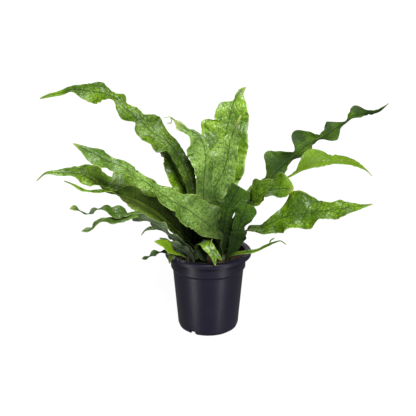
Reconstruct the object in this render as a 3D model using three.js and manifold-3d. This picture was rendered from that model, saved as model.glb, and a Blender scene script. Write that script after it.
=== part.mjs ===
// A crocodile fern in a round black nursery pot, in millimetres, +Z up, standing at the origin.
// Each frond is a strap-shaped blade with a waved margin, a midrib and a raised net.

import * as THREE from "three";
import Module from "manifold-3d";
import { mergeVertices } from "three/addons/utils/BufferGeometryUtils.js";

const wasm = await Module();
wasm.setup();

// Pot
const RIM_RADIUS = 70;
const RIM_TOP = 134;
const RIM_DEPTH = 6.5;
const BAND_RADIUS = 61.5;
const BAND_FOOT_RADIUS = 61;
const BAND_BOTTOM = 108;
const STEP_BOTTOM = 104;
const WALL_TOP_RADIUS = 58;
const WALL_FOOT_RADIUS = 49.7;
const FOOT_HEIGHT = 9;
const FOOT_RING_RADIUS = 43;
const FLOOR_RADIUS = 46;
const WALL = 1.5;
const FLOOR = 2;
const PAD_RADIUS = 20;
const CHANNEL_INNER = 23;
const CHANNEL_OUTER = 38;
const CHANNEL_RISE = 3;
const POT_SIDES = 36;
const NOTCHES = 3;
const NOTCH_WIDTH = 12;
const NOTCH_DEPTH = 30;
const NOTCH_HEIGHT = 8.5;
const NOTCH_HEADING = 237;
const DRAIN_HOLES = 6;
const DRAIN_RADIUS = 4;

// Peat and creeping stems
const CLEARANCE = 0.3;
const FLATNESS = 0.06;
const SOIL_TOP = 120;
const SOIL_CROWN = 2.5;
const SOIL_RINGS = 3;
const RHIZOME_RADIUS = 6.5;
const RHIZOME_SIDES = 7;
const RHIZOME_STEPS = 8;
const SOCKET_RADIUS = 3.3;
const SOCKET_SIDES = 5;
const SOCKET_TOP = 134;

// Fronds
const BLADE = 0.9;
const MIDRIB = 0.8;
const STALK = 2.6;
const STALK_FOOT = 108;
const STALK_BEND = 118;
const STALK_LENGTH = 45;
const NET_RELIEF = 0.45;
const LOBE = 0.06;
const LEAST_HALF_WIDTH = 0.8;
const ROW_PITCH = 12.5;
const FORK_PITCH = 8;
const FORK_LEAVES = 0.03;
const NARROW_BLADE = 9.5;

const GREENS = {
  mature: "#5f9a2c",
  young: "#9dbf3c",
  old: "#4c7434",
};

const radians = THREE.MathUtils.degToRad;

function smooth(t) {
  const k = Math.min(Math.max(t, 0), 1);
  return k * k * (3 - 2 * k);
}

// Straight distances between neighbouring stations
function spans(stations) {
  return stations.slice(1).map((s, i) => Math.hypot(...[0, 1, 2].map((k) => s[k] - stations[i][k])));
}

// Value of a smooth curve through the stations, at t from 0 to 1 of their summed distance
function curveAt(stations, t) {
  const gaps = spans(stations);
  const last = gaps.length - 1;
  let rest = Math.min(Math.max(t, 0), 1) * gaps.reduce((sum, g) => sum + g, 0);
  let i = 0;
  while (i < last && rest > gaps[i]) rest -= gaps[i++];
  const h = gaps[i];
  const w = Math.min(rest / h, 1);
  return stations[0].map((_, k) => {
    const slope = (j) => (stations[j + 1][k] - stations[j][k]) / gaps[j];
    const here = slope(i);
    const m0 = i > 0 ? (here * gaps[i - 1] + slope(i - 1) * h) / (gaps[i - 1] + h) : here;
    const m1 = i < last ? (here * gaps[i + 1] + slope(i + 1) * h) / (gaps[i + 1] + h) : here;
    const w2 = w * w;
    const w3 = w2 * w;
    return (2 * w3 - 3 * w2 + 1) * stations[i][k] + (w3 - 2 * w2 + w) * h * m0
      + (3 * w2 - 2 * w3) * stations[i + 1][k] + (w3 - w2) * h * m1;
  });
}

// Length of the curve and a table that turns distance along it into t
function measure(stations) {
  const steps = 400;
  const run = [0];
  let before = curveAt(stations, 0);
  for (let i = 1; i <= steps; i++) {
    const now = curveAt(stations, i / steps);
    run.push(run[i - 1] + Math.hypot(now[0] - before[0], now[1] - before[1], now[2] - before[2]));
    before = now;
  }
  return run;
}

function paramAt(run, distance) {
  const steps = run.length - 1;
  let i = 1;
  while (i < steps && run[i] < distance) i++;
  const w = (distance - run[i - 1]) / (run[i] - run[i - 1] || 1);
  return (i - 1 + Math.min(Math.max(w, 0), 1)) / steps;
}

// Point, direction, across and up of the blade at distance u (0 to 1) along it
function place(stations, heading, run, u) {
  const t = paramAt(run, u * run[run.length - 1]);
  const at = curveAt(stations, t);
  const ahead = curveAt(stations, t + 0.001);
  const behind = curveAt(stations, t - 0.001);
  const along = new THREE.Vector3(...ahead.slice(0, 3)).sub(new THREE.Vector3(...behind.slice(0, 3)));
  along.normalize();
  const across = new THREE.Vector3(-Math.sin(heading), Math.cos(heading), 0);
  across.addScaledVector(along, -across.dot(along)).normalize();
  const up = new THREE.Vector3().crossVectors(along, across);
  return { at, along, across, up };
}

// Middle surface of a blade at u along it and v from -1 at its left margin to 1 at its right
function bladePoint(blade, spot, u, v) {
  const { at, across, up } = spot;
  const side = v > 0 ? 1 : -1;
  const a = Math.abs(v);
  const half = Math.max(side > 0 ? at[4] : at[3], LEAST_HALF_WIDTH);
  const cycle = 2 * Math.PI * (blade.waves * u + blade.phase + (side > 0 ? 0.5 : 0));
  const angle = radians(at[5]) + side * radians(at[6]);
  const outward = across.clone().multiplyScalar(Math.cos(angle)).addScaledVector(up, Math.sin(angle));
  const raised = up.clone().multiplyScalar(Math.cos(angle)).addScaledVector(across, -Math.sin(angle));
  const grown = blade.growth(u);
  const reach = v * half * (1 + LOBE * grown * Math.sin(cycle + 0.6));
  const lift = blade.lift * Math.min(1, half / 16) * grown * a ** 1.6 * Math.sin(cycle);
  return new THREE.Vector3(at[0], at[1], at[2]).addScaledVector(outward, reach).addScaledVector(raised, lift);
}

function makeBlade(spec, stations, isFork) {
  const run = measure(stations);
  const length = run[run.length - 1];
  const growth = isFork
    ? (u) => smooth(u / 0.3) * (1 - 0.7 * smooth((u - 0.7) / 0.3))
    : (u) => smooth((u * length - 25) / 40) * (1 - 0.7 * smooth((u - 0.85) / 0.15));
  return {
    stations,
    run,
    length,
    growth,
    isFork,
    heading: radians(spec.heading),
    waves: isFork ? Math.max(2, Math.floor(spec.waves / 2)) : spec.waves,
    phase: spec.phase,
    lift: spec.lift,
  };
}

function geometryOf(points, faces) {
  const geometry = new THREE.BufferGeometry();
  const flat = new Float32Array(points.length * 3);
  points.forEach((p, i) => p.toArray(flat, 3 * i));
  geometry.setAttribute("position", new THREE.BufferAttribute(flat, 3));
  geometry.setIndex(faces.flat());
  return geometry;
}

// Closed sheet: the same grid, split the same way, on the upper and lower face
function bladeGeometry(blade, rows, columns) {
  const wide = columns + 1;
  const middle = [];
  for (let i = 0; i <= rows; i++) {
    const u = i / rows;
    const spot = place(blade.stations, blade.heading, blade.run, u);
    for (let j = 0; j <= columns; j++) middle.push(bladePoint(blade, spot, u, (2 * j) / columns - 1));
  }
  const grid = (i, j) => middle[Math.min(Math.max(i, 0), rows) * wide + Math.min(Math.max(j, 0), columns)];
  const upper = [];
  const lower = [];
  for (let i = 0; i <= rows; i++) {
    const u = i / rows;
    const stalk = blade.isFork ? 0 : 1 - smooth((u * blade.length - 15) / STALK_LENGTH);
    for (let j = 0; j <= columns; j++) {
      const du = grid(i + 1, j).clone().sub(grid(i - 1, j));
      const dv = grid(i, j + 1).clone().sub(grid(i, j - 1));
      const normal = du.cross(dv).normalize();
      const rib = 2 * j === columns ? MIDRIB * (1 - stalk) * (1 - u) : 0;
      const inside = j > 0 && j < columns && 2 * j !== columns;
      const net = inside ? NET_RELIEF * blade.growth(u) * ((i + j) % 2 ? 1 : -1) : 0;
      const thick = BLADE + (STALK - BLADE) * stalk;
      upper.push(grid(i, j).clone().addScaledVector(normal, thick / 2 + net));
      lower.push(grid(i, j).clone().addScaledVector(normal, net - thick / 2 - rib));
    }
  }
  const count = upper.length;
  const faces = [];
  for (let i = 0; i < rows; i++) {
    for (let j = 0; j < columns; j++) {
      const a = i * wide + j;
      const b = a + 1;
      const c = b + wide;
      const d = a + wide;
      faces.push([a, d, c], [a, c, b], [a + count, c + count, d + count], [a + count, b + count, c + count]);
    }
    const left = i * wide;
    const right = left + columns;
    faces.push([left, left + count, left + wide + count], [left, left + wide + count, left + wide]);
    faces.push([right, right + wide + count, right + count], [right, right + wide, right + wide + count]);
  }
  for (let j = 0; j < columns; j++) {
    const tip = rows * wide + j;
    faces.push([j, j + 1, j + 1 + count], [j, j + 1 + count, j + count]);
    faces.push([tip, tip + 1 + count, tip + 1], [tip, tip + count, tip + 1 + count]);
  }
  return geometryOf(upper.concat(lower), faces);
}

// Round rod through points, with a radius at each
function rod(points, radii, sides) {
  const rings = points.length;
  const vertices = [];
  const across = new THREE.Vector3();
  const up = new THREE.Vector3();
  points.forEach((p, i) => {
    const along = points[Math.min(i + 1, rings - 1)].clone().sub(points[Math.max(i - 1, 0)]).normalize();
    const guide = Math.abs(along.z) > 0.7 ? new THREE.Vector3(0, 1, 0) : new THREE.Vector3(0, 0, 1);
    across.crossVectors(guide, along).normalize();
    up.crossVectors(along, across);
    for (let k = 0; k < sides; k++) {
      const angle = (2 * Math.PI * (k + 0.5)) / sides;
      const point = p.clone().addScaledVector(across, radii[i] * Math.cos(angle));
      vertices.push(point.addScaledVector(up, radii[i] * Math.sin(angle)));
    }
  });
  const faces = [];
  for (let i = 0; i < rings - 1; i++) {
    for (let k = 0; k < sides; k++) {
      const a = i * sides + k;
      const b = i * sides + ((k + 1) % sides);
      faces.push([a, b, b + sides], [a, b + sides, a + sides]);
    }
  }
  const start = vertices.length;
  vertices.push(points[0].clone(), points[rings - 1].clone());
  for (let k = 0; k < sides; k++) {
    const n = (k + 1) % sides;
    faces.push([start, n, k], [start + 1, (rings - 1) * sides + k, (rings - 1) * sides + n]);
  }
  return geometryOf(vertices, faces);
}

function toSolid(geometry) {
  const bare = geometry.clone();
  bare.deleteAttribute("normal");
  bare.deleteAttribute("uv");
  const merged = mergeVertices(bare, 1e-4);
  return new wasm.Manifold(new wasm.Mesh({
    numProp: 3,
    vertProperties: new Float32Array(merged.attributes.position.array),
    triVerts: new Uint32Array(merged.index.array),
  }));
}

function fromSolid(solid) {
  const mesh = solid.simplify(FLATNESS).getMesh();
  const geometry = new THREE.BufferGeometry();
  geometry.setAttribute("position", new THREE.BufferAttribute(new Float32Array(mesh.vertProperties), 3));
  geometry.setIndex(new THREE.BufferAttribute(new Uint32Array(mesh.triVerts), 1));
  return geometry;
}

function turned(profile, sides) {
  const outline = profile.map(([r, z]) => new THREE.Vector2(r, z));
  const lathe = new THREE.LatheGeometry(outline, sides);
  lathe.rotateX(Math.PI / 2);
  return lathe;
}

const group = new THREE.Group();

function addMesh(name, geometry, color, roughness) {
  const material = new THREE.MeshStandardMaterial({ color, roughness, metalness: 0 });
  const mesh = new THREE.Mesh(geometry, material);
  mesh.name = name;
  group.add(mesh);
  return mesh;
}

const fronds = [];

// A frond: its colour; the heading it leans towards, the waves of its margin, their lift and phase;
// the x and y of its root and the stalk's half width there; then its stations up to the tip. Each
// station has the midrib's x, y and z, the blade's width left and right of it, its roll and the fold
// of its halves, in mm and degrees. A fork leaves the blade at a share of its length and width and
// has stations of its own.
function frond(name, age, [heading, waves, lift, phase], [x, y, half], above, forks) {
  const spec = { heading, waves, lift, phase };
  const stations = [[x, y, STALK_FOOT, half, half, 0, 0], [x, y, STALK_BEND, half, half, 0, 0], ...above];
  const main = makeBlade(spec, stations, false);
  const widest = Math.max(...stations.map((s) => s[3] + s[4])) / 2;
  const columns = widest < NARROW_BLADE ? 2 : 4;
  main.rows = Math.max(10, Math.round(main.length / ROW_PITCH));
  let solid = toSolid(bladeGeometry(main, main.rows, columns));
  for (const [share, side, rest] of forks) {
    const base = place(stations, main.heading, main.run, share);
    const next = place(stations, main.heading, main.run, share + FORK_LEAVES);
    const shape = rest[0].slice(3);
    const first = [...bladePoint(main, base, share, 0).toArray(), ...shape];
    const second = [...bladePoint(main, next, share + FORK_LEAVES, side).toArray(), ...shape];
    const fork = makeBlade(spec, [first, second, ...rest], true);
    solid = solid.add(toSolid(bladeGeometry(fork, Math.max(4, Math.round(fork.length / FORK_PITCH)), 4)));
  }
  addMesh(name, fromSolid(solid), GREENS[age], 0.35);
  fronds.push(main);
}

frond("frond_upper_left", "mature", [168, 9, 4, 0], [-12, -2, 2], [
  [-14, -1, 176, 10, 10, -30, 14], [-25, 4, 233, 11, 11, -45, 12], [-39, 14, 273, 12, 12, -55, 10],
  [-56, 19, 300, 12, 12, -60, 8], [-68, 22, 311, 13, 10, -60, 8], [-82, 25, 319, 22, 18, -60, 8],
  [-95, 29, 328, 26, 21, -60, 8], [-104, 31, 337, 20, 18, -55, 10], [-110, 33, 343, 12, 9, -50, 12],
  [-120, 36, 351, 14, 18, -55, 12], [-128, 38, 357, 9, 19, -60, 10], [-136, 40, 364, 8, 14, -50, 10],
  [-142, 42, 371, 13, 8, -50, 10], [-151, 44, 378, 7, 7, -45, 14], [-160, 46, 381, 10, 13, -50, 10],
  [-170, 48, 383, 16, 20, -60, 8], [-188, 51, 385, 12, 18, -60, 8], [-204, 53, 387, 10, 12, -55, 8],
  [-217, 55, 387, 7, 6, -50, 10], [-236, 58, 381, 4, 5, -50, 12], [-260, 60, 375, 3, 4, -50, 8],
  [-271, 61, 371, 1, 1, -50, 0]], []);
frond("frond_short_behind_left", "old", [150, 5, 4, 0], [-18, 24, 2], [
  [-22, 28, 166, 12, 12, -20, 16], [-38, 36, 224, 16, 16, -40, 14], [-54, 42, 257, 16, 17, -50, 12],
  [-66, 48, 280, 9, 10, -50, 12], [-78, 52, 283, 1, 1, -40, 0]], []);
frond("frond_forked_tip", "young", [150, 5, 3, 0], [-1, -8, 2], [
  [-5, -8, 160, 12, 12, -20, 14], [-8, -8, 195, 12, 12, -25, 14], [-8, -7, 222, 14, 13, -30, 12],
  [-7, -6, 254, 15, 15, -35, 10], [-4, -4, 280, 12, 24, -45, 10], [-6, -2, 303, 8, 29, -50, 10],
  [-12, 0, 320, 5, 22, -50, 12], [-22, 3, 329, 4, 14, -45, 12], [-34, 6, 333, 3, 7, -40, 12],
  [-42, 8, 340, 4, 11, -40, 10], [-53, 10, 347, 2, 2, -30, 0], [-61, 13, 352, 1, 1, -20, 0],
  [-69, 15, 350, 1, 1, -20, 0]], [
  [0.93, 0.5, [
    [-58, 11, 343, 1, 1, -30, 0], [-65, 12, 342, 1, 1, -20, 0]]],
]);
frond("frond_tall_behind", "mature", [85, 6, 3, 0], [8, 16, 2], [
  [8, 17, 172, 18, 16, 0, 12], [12, 21, 215, 33, 22, 0, 8], [15, 24, 246, 36, 30, 0, 7],
  [22, 30, 290, 42, 34, 0, 8], [27, 35, 317, 37, 40, 0, 6], [30, 38, 329, 36, 38, 0, 6],
  [32, 40, 335, 35, 23, 0, 6], [34, 42, 344, 32, 24, 0, 6], [36, 44, 354, 29, 24, 0, 6],
  [38, 46, 361, 26, 20, 0, 6], [41, 48, 368, 23, 4, 0, 6], [46, 50, 378, 17, 3, 0, 6],
  [51, 52, 384, 8, 4, 0, 0], [60, 54, 391, 1, 1, 0, 0]], []);
frond("frond_centre", "mature", [75, 7, 3, 0], [-8, 8, 2], [
  [-5, 9, 170, 12, 12, 0, 12], [0, 9, 200, 18, 16, 0, 12], [6, 10, 230, 26, 20, 0, 12], [17, 12, 248, 26, 28, 5, 12],
  [26, 14, 268, 20, 34, 10, 12], [32, 16, 293, 15, 28, 10, 12], [35, 17, 312, 15, 14, 5, 12],
  [39, 18, 325, 11, 5, 0, 12], [43, 17, 334, 3, 3, 0, 20], [47, 15, 343, 2, 2, 0, 20], [51, 14, 354, 1, 1, 0, 0]], []);
frond("frond_broad_front_left", "mature", [190, 8, 5, 0], [20, -38, 2], [
  [20, -41, 150, 9, 8, -10, 14], [16, -47, 172, 16, 12, -15, 14], [7, -53, 188, 29, 20, -38, 12],
  [-9, -58, 205, 32, 25, -52, 8], [-28, -62, 221, 27, 26, -55, 8], [-46, -67, 234, 20, 19, -55, 8],
  [-64, -72, 247, 16, 14, -50, 10], [-84, -79, 266, 9, 14, -40, 16], [-101, -84, 280, 7, 15, -40, 18],
  [-117, -86, 293, 10, 14, -45, 14], [-128, -87, 300, 8, 12, -50, 10], [-143, -88, 306, 8, 12, -55, 8],
  [-157, -90, 314, 12, 17, -60, 8], [-170, -91, 321, 8, 14, -60, 8], [-183, -92, 328, 5, 7, -60, 8],
  [-198, -94, 337, 1, 1, -50, 0]], []);
frond("frond_long_left", "old", [185, 7, 7, 0], [-14, -18, 2], [
  [-38, -22, 166, 12, 12, 20, 14], [-62, -26, 194, 16, 20, 20, 40], [-84, -30, 214, 30, 22, 5, 60],
  [-101, -33, 226, 36, 20, 5, 65], [-116, -35, 234, 40, 18, 5, 62], [-132, -37, 239, 44, 16, 0, 60],
  [-148, -39, 242, 44, 15, 3, 58], [-159, -41, 246, 36, 15, -5, 50], [-168, -42, 256, 26, 9, -25, 30],
  [-180, -44, 266, 22, 12, -42, 14], [-196, -46, 276, 16, 12, -45, 10],
  [-212, -49, 279, 10, 8, -45, 10], [-230, -52, 280, 4, 5, -40, 10],
  [-247, -54, 280, 3, 3, -30, 0], [-262, -56, 268, 1, 1, -30, 0]], [
  [0.58, 0.8, [
    [-172, -48, 249, 3, 3, -30, 0], [-192, -52, 252, 3, 3, -30, 0], [-208, -54, 262, 2, 2, -30, 0],
    [-220, -56, 268, 1, 1, -30, 0]]],
]);
frond("frond_pale_below_left", "young", [170, 4, 3, 0], [-26, 4, 2], [
  [-46, 8, 154, 6, 6, -30, 14], [-78, 8, 185, 10, 10, -40, 10], [-100, 6, 202, 10, 12, -45, 10],
  [-120, 4, 216, 9, 14, -45, 10], [-134, 3, 222, 6, 8, -45, 10], [-143, 2, 226, 1, 1, -40, 0]], []);
frond("frond_wavy_low_left", "old", [200, 9, 3, 0], [-18, -34, 2], [
  [-32, -43, 150, 9, 9, 20, 14], [-52, -49, 170, 11, 11, 30, 12], [-64, -53, 182, 6, 6, 35, 10],
  [-76, -57, 194, 13, 13, 35, 10], [-87, -62, 204, 9, 9, 40, 10], [-96, -66, 210, 6, 6, 45, 8],
  [-109, -71, 214, 15, 15, 50, 8], [-118, -74, 217, 9, 10, 30, 10],
  [-126, -77, 223, 9, 9, -30, 10], [-135, -80, 225, 11, 10, -45, 8], [-146, -83, 227, 9, 9, -45, 8],
  [-154, -86, 234, 6, 7, -45, 8], [-163, -88, 233, 2, 2, 0, 10], [-171, -90, 232, 6, 6, 50, 8],
  [-178, -93, 228, 4, 4, 40, 8], [-184, -95, 228, 4, 3, 0, 8], [-192, -98, 234, 1, 1, -30, 8],
  [-200, -101, 239, 5, 4, -50, 8], [-206, -103, 239, 1, 1, -50, 0]], [
  [0.55, 0.7, [
    [-135, -80, 214, 6, 6, -40, 0], [-146, -84, 213, 6, 6, -45, 8], [-154, -88, 216, 4, 4, -40, 8],
    [-163, -91, 216, 4, 4, -40, 8], [-170, -94, 212, 4, 4, -30, 8], [-174, -96, 206, 2, 2, -30, 8],
    [-182, -99, 204, 4, 4, -50, 8], [-190, -102, 203, 1, 1, -40, 0]]],
]);
frond("frond_beaded_left", "old", [215, 2, 1, 0], [-38, -28, 2], [
  [-42, -34, 136, 2, 2, -30, 0], [-50, -46, 147, 2, 2, -40, 0], [-60, -61, 154, 2, 2, -50, 0],
  [-68, -70, 158, 3, 3, -60, 0], [-74, -73, 158, 1, 1, -60, 0], [-84, -80, 159, 5, 5, -60, 0],
  [-90, -85, 156, 1, 1, -60, 0], [-97, -90, 155, 3, 3, -60, 0], [-101, -93, 155, 1, 1, -60, 0]], []);
frond("frond_grey_low_left", "old", [205, 5, 2, 0], [-22, -46, 2], [
  [-26, -49, 138, 5, 5, 20, 10], [-38, -56, 152, 10, 10, 40, 8], [-50, -62, 162, 11, 11, 45, 8],
  [-61, -66, 170, 9, 8, 45, 8], [-69, -69, 177, 6, 5, 40, 8], [-75, -71, 181, 1, 1, 30, 0]], []);
frond("frond_young_left", "young", [215, 3, 2, 0], [-30, -38, 2], [
  [-34, -45, 136, 2, 2, -10, 0], [-44, -62, 150, 3, 3, -20, 0], [-53, -74, 159, 5, 5, -40, 0],
  [-60, -81, 168, 9, 9, -50, 0], [-67, -85, 176, 9, 8, -50, 0], [-82, -89, 182, 1, 1, -50, 0]], []);
frond("frond_small_dark_left", "old", [175, 4, 2, 0], [-32, -20, 2], [
  [-50, -24, 152, 5, 5, 20, 8], [-68, -28, 174, 7, 7, 30, 8], [-86, -38, 184, 6, 6, 10, 8],
  [-98, -44, 184, 3, 3, -20, 0], [-105, -46, 176, 1, 1, -20, 0]], []);
frond("frond_young_crested", "young", [300, 3, 2, 0], [-14, -38, 2], [
  [-16, -41, 138, 2, 2, 0, 0], [-18, -43, 150, 3, 3, 0, 0], [-17, -49, 161, 3, 3, 10, 0],
  [-11, -56, 167, 5, 6, 20, 0], [-4, -62, 167, 8, 9, 25, 0], [3, -67, 161, 8, 9, 30, 0],
  [8, -72, 151, 5, 5, 30, 0], [11, -76, 137, 1, 1, 30, 0]], [
  [0.66, 0.6, [
    [3, -65, 171, 4, 4, 60, 0], [6, -68, 178, 1, 1, 60, 0]]],
  [0.78, 0.5, [
    [13, -72, 154, 4, 4, 30, 0], [21, -75, 145, 1, 1, 30, 0]]],
]);
frond("frond_seedling_left", "young", [235, 3, 1, 0], [-46, -20, 2], [
  [-50, -27, 134, 2, 2, -20, 0], [-54, -34, 141, 3, 3, -30, 0], [-57, -41, 143, 5, 5, -50, 0],
  [-60, -46, 137, 4, 4, -60, 0], [-61, -48, 129, 1, 1, -60, 0]], []);
frond("frond_young_right", "young", [340, 5, 2, 0], [30, -38, 2], [
  [33, -42, 137, 3, 3, 20, 8], [43, -49, 146, 3, 3, 30, 8], [58, -50, 149, 4, 3, 40, 8],
  [75, -52, 152, 3, 3, 40, 8], [92, -54, 161, 2, 3, 40, 8], [106, -57, 169, 2, 2, 30, 8],
  [112, -58, 171, 1, 1, 30, 0], [121, -60, 166, 1, 1, 30, 0]], [
  [0.76, 0.5, [
    [97, -55, 169, 1, 2, 30, 0], [103, -56, 175, 1, 1, 30, 0]]],
]);
frond("frond_broad_right", "mature", [345, 6, 7, 0], [29, -13, 2], [
  [38, -15, 148, 6, 6, -50, 10], [55, -20, 170, 9, 8, -40, 10], [66, -30, 182, 9, 6, 0, 12],
  [83, -40, 187, 17, 6, 40, 10], [101, -46, 198, 19, 8, 50, 8], [115, -50, 207, 28, 16, 52, 8],
  [128, -54, 211, 23, 36, 55, 8], [141, -57, 214, 22, 35, 55, 6], [156, -61, 217, 24, 32, 55, 6],
  [174, -66, 222, 14, 19, 50, 6], [189, -69, 226, 15, 10, 48, 6], [204, -72, 229, 15, 15, 45, 6],
  [218, -75, 232, 12, 9, 45, 6], [230, -78, 235, 6, 3, 40, 0], [248, -82, 239, 1, 1, 30, 0]], []);
frond("frond_pale_right", "young", [0, 4, 3, 0], [44, 4, 2], [
  [51, 5, 160, 3, 3, 0, 0], [66, 6, 192, 3, 3, 10, 0], [84, 7, 222, 3, 3, 20, 0],
  [100, 8, 240, 3, 3, 20, 0], [118, 9, 250, 3, 3, 25, 0], [135, 10, 259, 3, 3, 30, 0],
  [146, 10, 267, 5, 7, 40, 6], [154, 10, 272, 7, 14, 40, 6], [164, 10, 277, 9, 22, 40, 6],
  [178, 10, 280, 10, 21, 40, 6], [195, 10, 281, 8, 12, 40, 6], [212, 10, 281, 8, 13, 40, 6],
  [224, 10, 280, 8, 8, 35, 6], [241, 10, 273, 6, 5, 20, 6], [252, 10, 266, 2, 2, 20, 0],
  [262, 10, 256, 1, 1, 10, 0]], []);
frond("frond_long_right", "old", [15, 7.5, 8, 0.83], [34, 14, 2], [
  [52, 16, 173, 10, 8, -20, 14], [69, 20, 205, 14, 9, -40, 10], [87, 24, 232, 12, 12, -55, 10],
  [100, 28, 248, 12, 16, -75, 8], [116, 33, 264, 32, 12, -80, 8], [130, 38, 275, 19, 10, -80, 8],
  [144, 42, 285, 8, 14, -80, 8], [154, 46, 294, 27, 13, -80, 8], [166, 50, 301, 22, 10, -80, 8],
  [181, 56, 307, 8, 7, -80, 8], [193, 60, 313, 9, 15, -75, 8], [203, 63, 319, 14, 18, -75, 8],
  [213, 66, 325, 7, 12, -75, 8], [224, 70, 330, 4, 7, -70, 8], [233, 73, 336, 11, 3, -70, 8],
  [246, 76, 342, 13, 6, -70, 8], [259, 80, 344, 5, 7, -70, 8], [278, 86, 344, 5, 7, -60, 8],
  [288, 88, 350, 3, 3, -50, 0], [297, 90, 357, 1, 1, -30, 0]], []);
frond("frond_rounded_right", "mature", [330, 4, 6, 0], [31, -4, 2], [
  [39, -9, 156, 7, 7, 10, 12], [46, -12, 180, 11, 11, 25, 10], [54, -18, 202, 11, 11, 35, 8],
  [67, -28, 219, 11, 13, 35, 8], [78, -34, 232, 11, 22, 40, 8], [84, -37, 241, 12, 32, 45, 8],
  [90, -39, 246, 14, 24, 45, 8], [98, -43, 249, 16, 25, 45, 8], [108, -47, 252, 16, 27, 45, 8],
  [118, -52, 254, 15, 20, 45, 8], [125, -56, 255, 11, 11, 40, 0], [130, -59, 255, 3, 3, 40, 0]], []);
frond("frond_inner_right", "mature", [85, 4, 3, 0], [20, -8, 2], [
  [21, -9, 150, 11, 10, 0, 12], [25, -11, 178, 13, 15, 0, 10], [29, -12, 204, 13, 16, 0, 10],
  [37, -12, 222, 18, 13, 0, 8], [44, -11, 236, 24, 12, 0, 8], [49, -10, 245, 15, 14, 0, 8]], []);
frond("frond_short_front", "old", [195, 2, 1, 0], [-2, -42, 2], [
  [-3, -43, 131, 2, 2, -20, 8], [-6, -46, 139, 8, 8, -40, 8], [-11, -50, 144, 10, 10, -45, 8],
  [-16, -52, 144, 7, 7, -45, 8], [-20, -55, 139, 1, 1, -40, 0]], []);
frond("frond_right_front", "mature", [85, 4, 3, 0], [30, -25, 2], [
  [34, -28, 137, 4, 4, 0, 10], [41, -32, 152, 9, 9, 0, 10], [46, -36, 172, 14, 11, 0, 10],
  [49, -39, 192, 10, 10, 0, 10], [54, -42, 207, 16, 13, 0, 8], [58, -43, 219, 19, 16, 0, 8],
  [60, -43, 227, 11, 12, 0, 8]], []);
frond("frond_inner_left", "old", [165, 3, 3, 0], [-26, -4, 2], [
  [-30, -2, 150, 8, 8, -30, 12], [-42, 1, 181, 12, 12, -45, 10], [-56, 5, 205, 11, 11, -45, 10],
  [-71, 9, 220, 7, 7, -45, 10], [-84, 12, 228, 1, 1, -45, 0]], []);
frond("frond_back_tall", "mature", [95, 6, 5, 0], [0, 36, 2], [
  [2, 46, 180, 10, 10, 0, 14], [6, 80, 236, 20, 20, 0, 12], [12, 130, 270, 24, 24, 0, 10],
  [18, 190, 270, 18, 18, 0, 10], [22, 236, 246, 8, 8, 0, 8], [24, 262, 226, 1, 1, 0, 0]], []);
frond("frond_back_low", "mature", [80, 6, 5, 0], [20, 34, 2], [
  [22, 46, 158, 9, 9, 0, 12], [24, 80, 196, 17, 17, 0, 10], [28, 130, 206, 20, 20, 0, 10],
  [32, 180, 186, 14, 14, 0, 10], [36, 220, 150, 1, 1, 0, 0]], []);
frond("frond_back_left", "mature", [130, 6, 5, 0], [-16, 38, 2], [
  [-22, 50, 180, 8, 8, 0, 14], [-42, 84, 232, 16, 16, -10, 12], [-74, 126, 272, 18, 18, -20, 10],
  [-100, 166, 282, 13, 13, -20, 10], [-122, 200, 272, 1, 1, -20, 0]], []);
frond("frond_back_right", "mature", [45, 6, 4, 0], [36, 30, 2], [
  [44, 40, 158, 7, 7, 0, 12], [66, 66, 190, 13, 13, 10, 12], [92, 92, 210, 15, 15, 15, 10],
  [116, 116, 214, 9, 9, 15, 10], [134, 134, 202, 1, 1, 15, 0]], []);

// Pot: one wall turned round the axis, with a rolled rim, a band and a raised drainage channel
function potSolid() {
  const inner = (radius) => radius - WALL;
  const profile = [
    [0, 0], [PAD_RADIUS, 0], [CHANNEL_INNER, CHANNEL_RISE], [CHANNEL_OUTER, CHANNEL_RISE],
    [CHANNEL_OUTER + 3, 0], [FOOT_RING_RADIUS, 0], [FLOOR_RADIUS + WALL, 3.2], [WALL_FOOT_RADIUS, FOOT_HEIGHT],
    [WALL_TOP_RADIUS, STEP_BOTTOM], [BAND_FOOT_RADIUS, BAND_BOTTOM], [BAND_RADIUS, RIM_TOP - WALL],
    [RIM_RADIUS - WALL, RIM_TOP - WALL],
    [RIM_RADIUS - WALL, RIM_TOP - RIM_DEPTH], [RIM_RADIUS, RIM_TOP - RIM_DEPTH], [RIM_RADIUS, RIM_TOP - 1.2],
    [RIM_RADIUS - 1.2, RIM_TOP], [BAND_RADIUS - WALL + 1, RIM_TOP], [inner(BAND_RADIUS), RIM_TOP - 1],
    [inner(BAND_FOOT_RADIUS), BAND_BOTTOM + 0.5], [inner(WALL_TOP_RADIUS), STEP_BOTTOM + 0.5],
    [inner(WALL_FOOT_RADIUS), FOOT_HEIGHT], [FLOOR_RADIUS, CHANNEL_RISE + FLOOR],
    [CHANNEL_INNER - 1, CHANNEL_RISE + FLOOR], [PAD_RADIUS - 1, FLOOR], [0, FLOOR],
  ];
  let pot = toSolid(turned(profile, POT_SIDES));
  for (let i = 0; i < NOTCHES; i++) {
    const heading = radians(NOTCH_HEADING + (360 * i) / NOTCHES);
    const notch = new THREE.BoxGeometry(NOTCH_DEPTH, NOTCH_WIDTH, NOTCH_HEIGHT + 4);
    notch.translate(WALL_FOOT_RADIUS + 7 - NOTCH_DEPTH / 2, 0, (NOTCH_HEIGHT - 4) / 2);
    notch.rotateZ(heading);
    pot = pot.subtract(toSolid(notch));
  }
  for (let i = 0; i < DRAIN_HOLES; i++) {
    const heading = radians((360 * i) / DRAIN_HOLES);
    const drain = new THREE.CylinderGeometry(DRAIN_RADIUS, DRAIN_RADIUS, 20, 8);
    drain.rotateX(Math.PI / 2);
    const middle = (CHANNEL_INNER + CHANNEL_OUTER) / 2;
    drain.translate(middle * Math.cos(heading), middle * Math.sin(heading), 0);
    pot = pot.subtract(toSolid(drain));
  }
  return pot;
}

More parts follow.
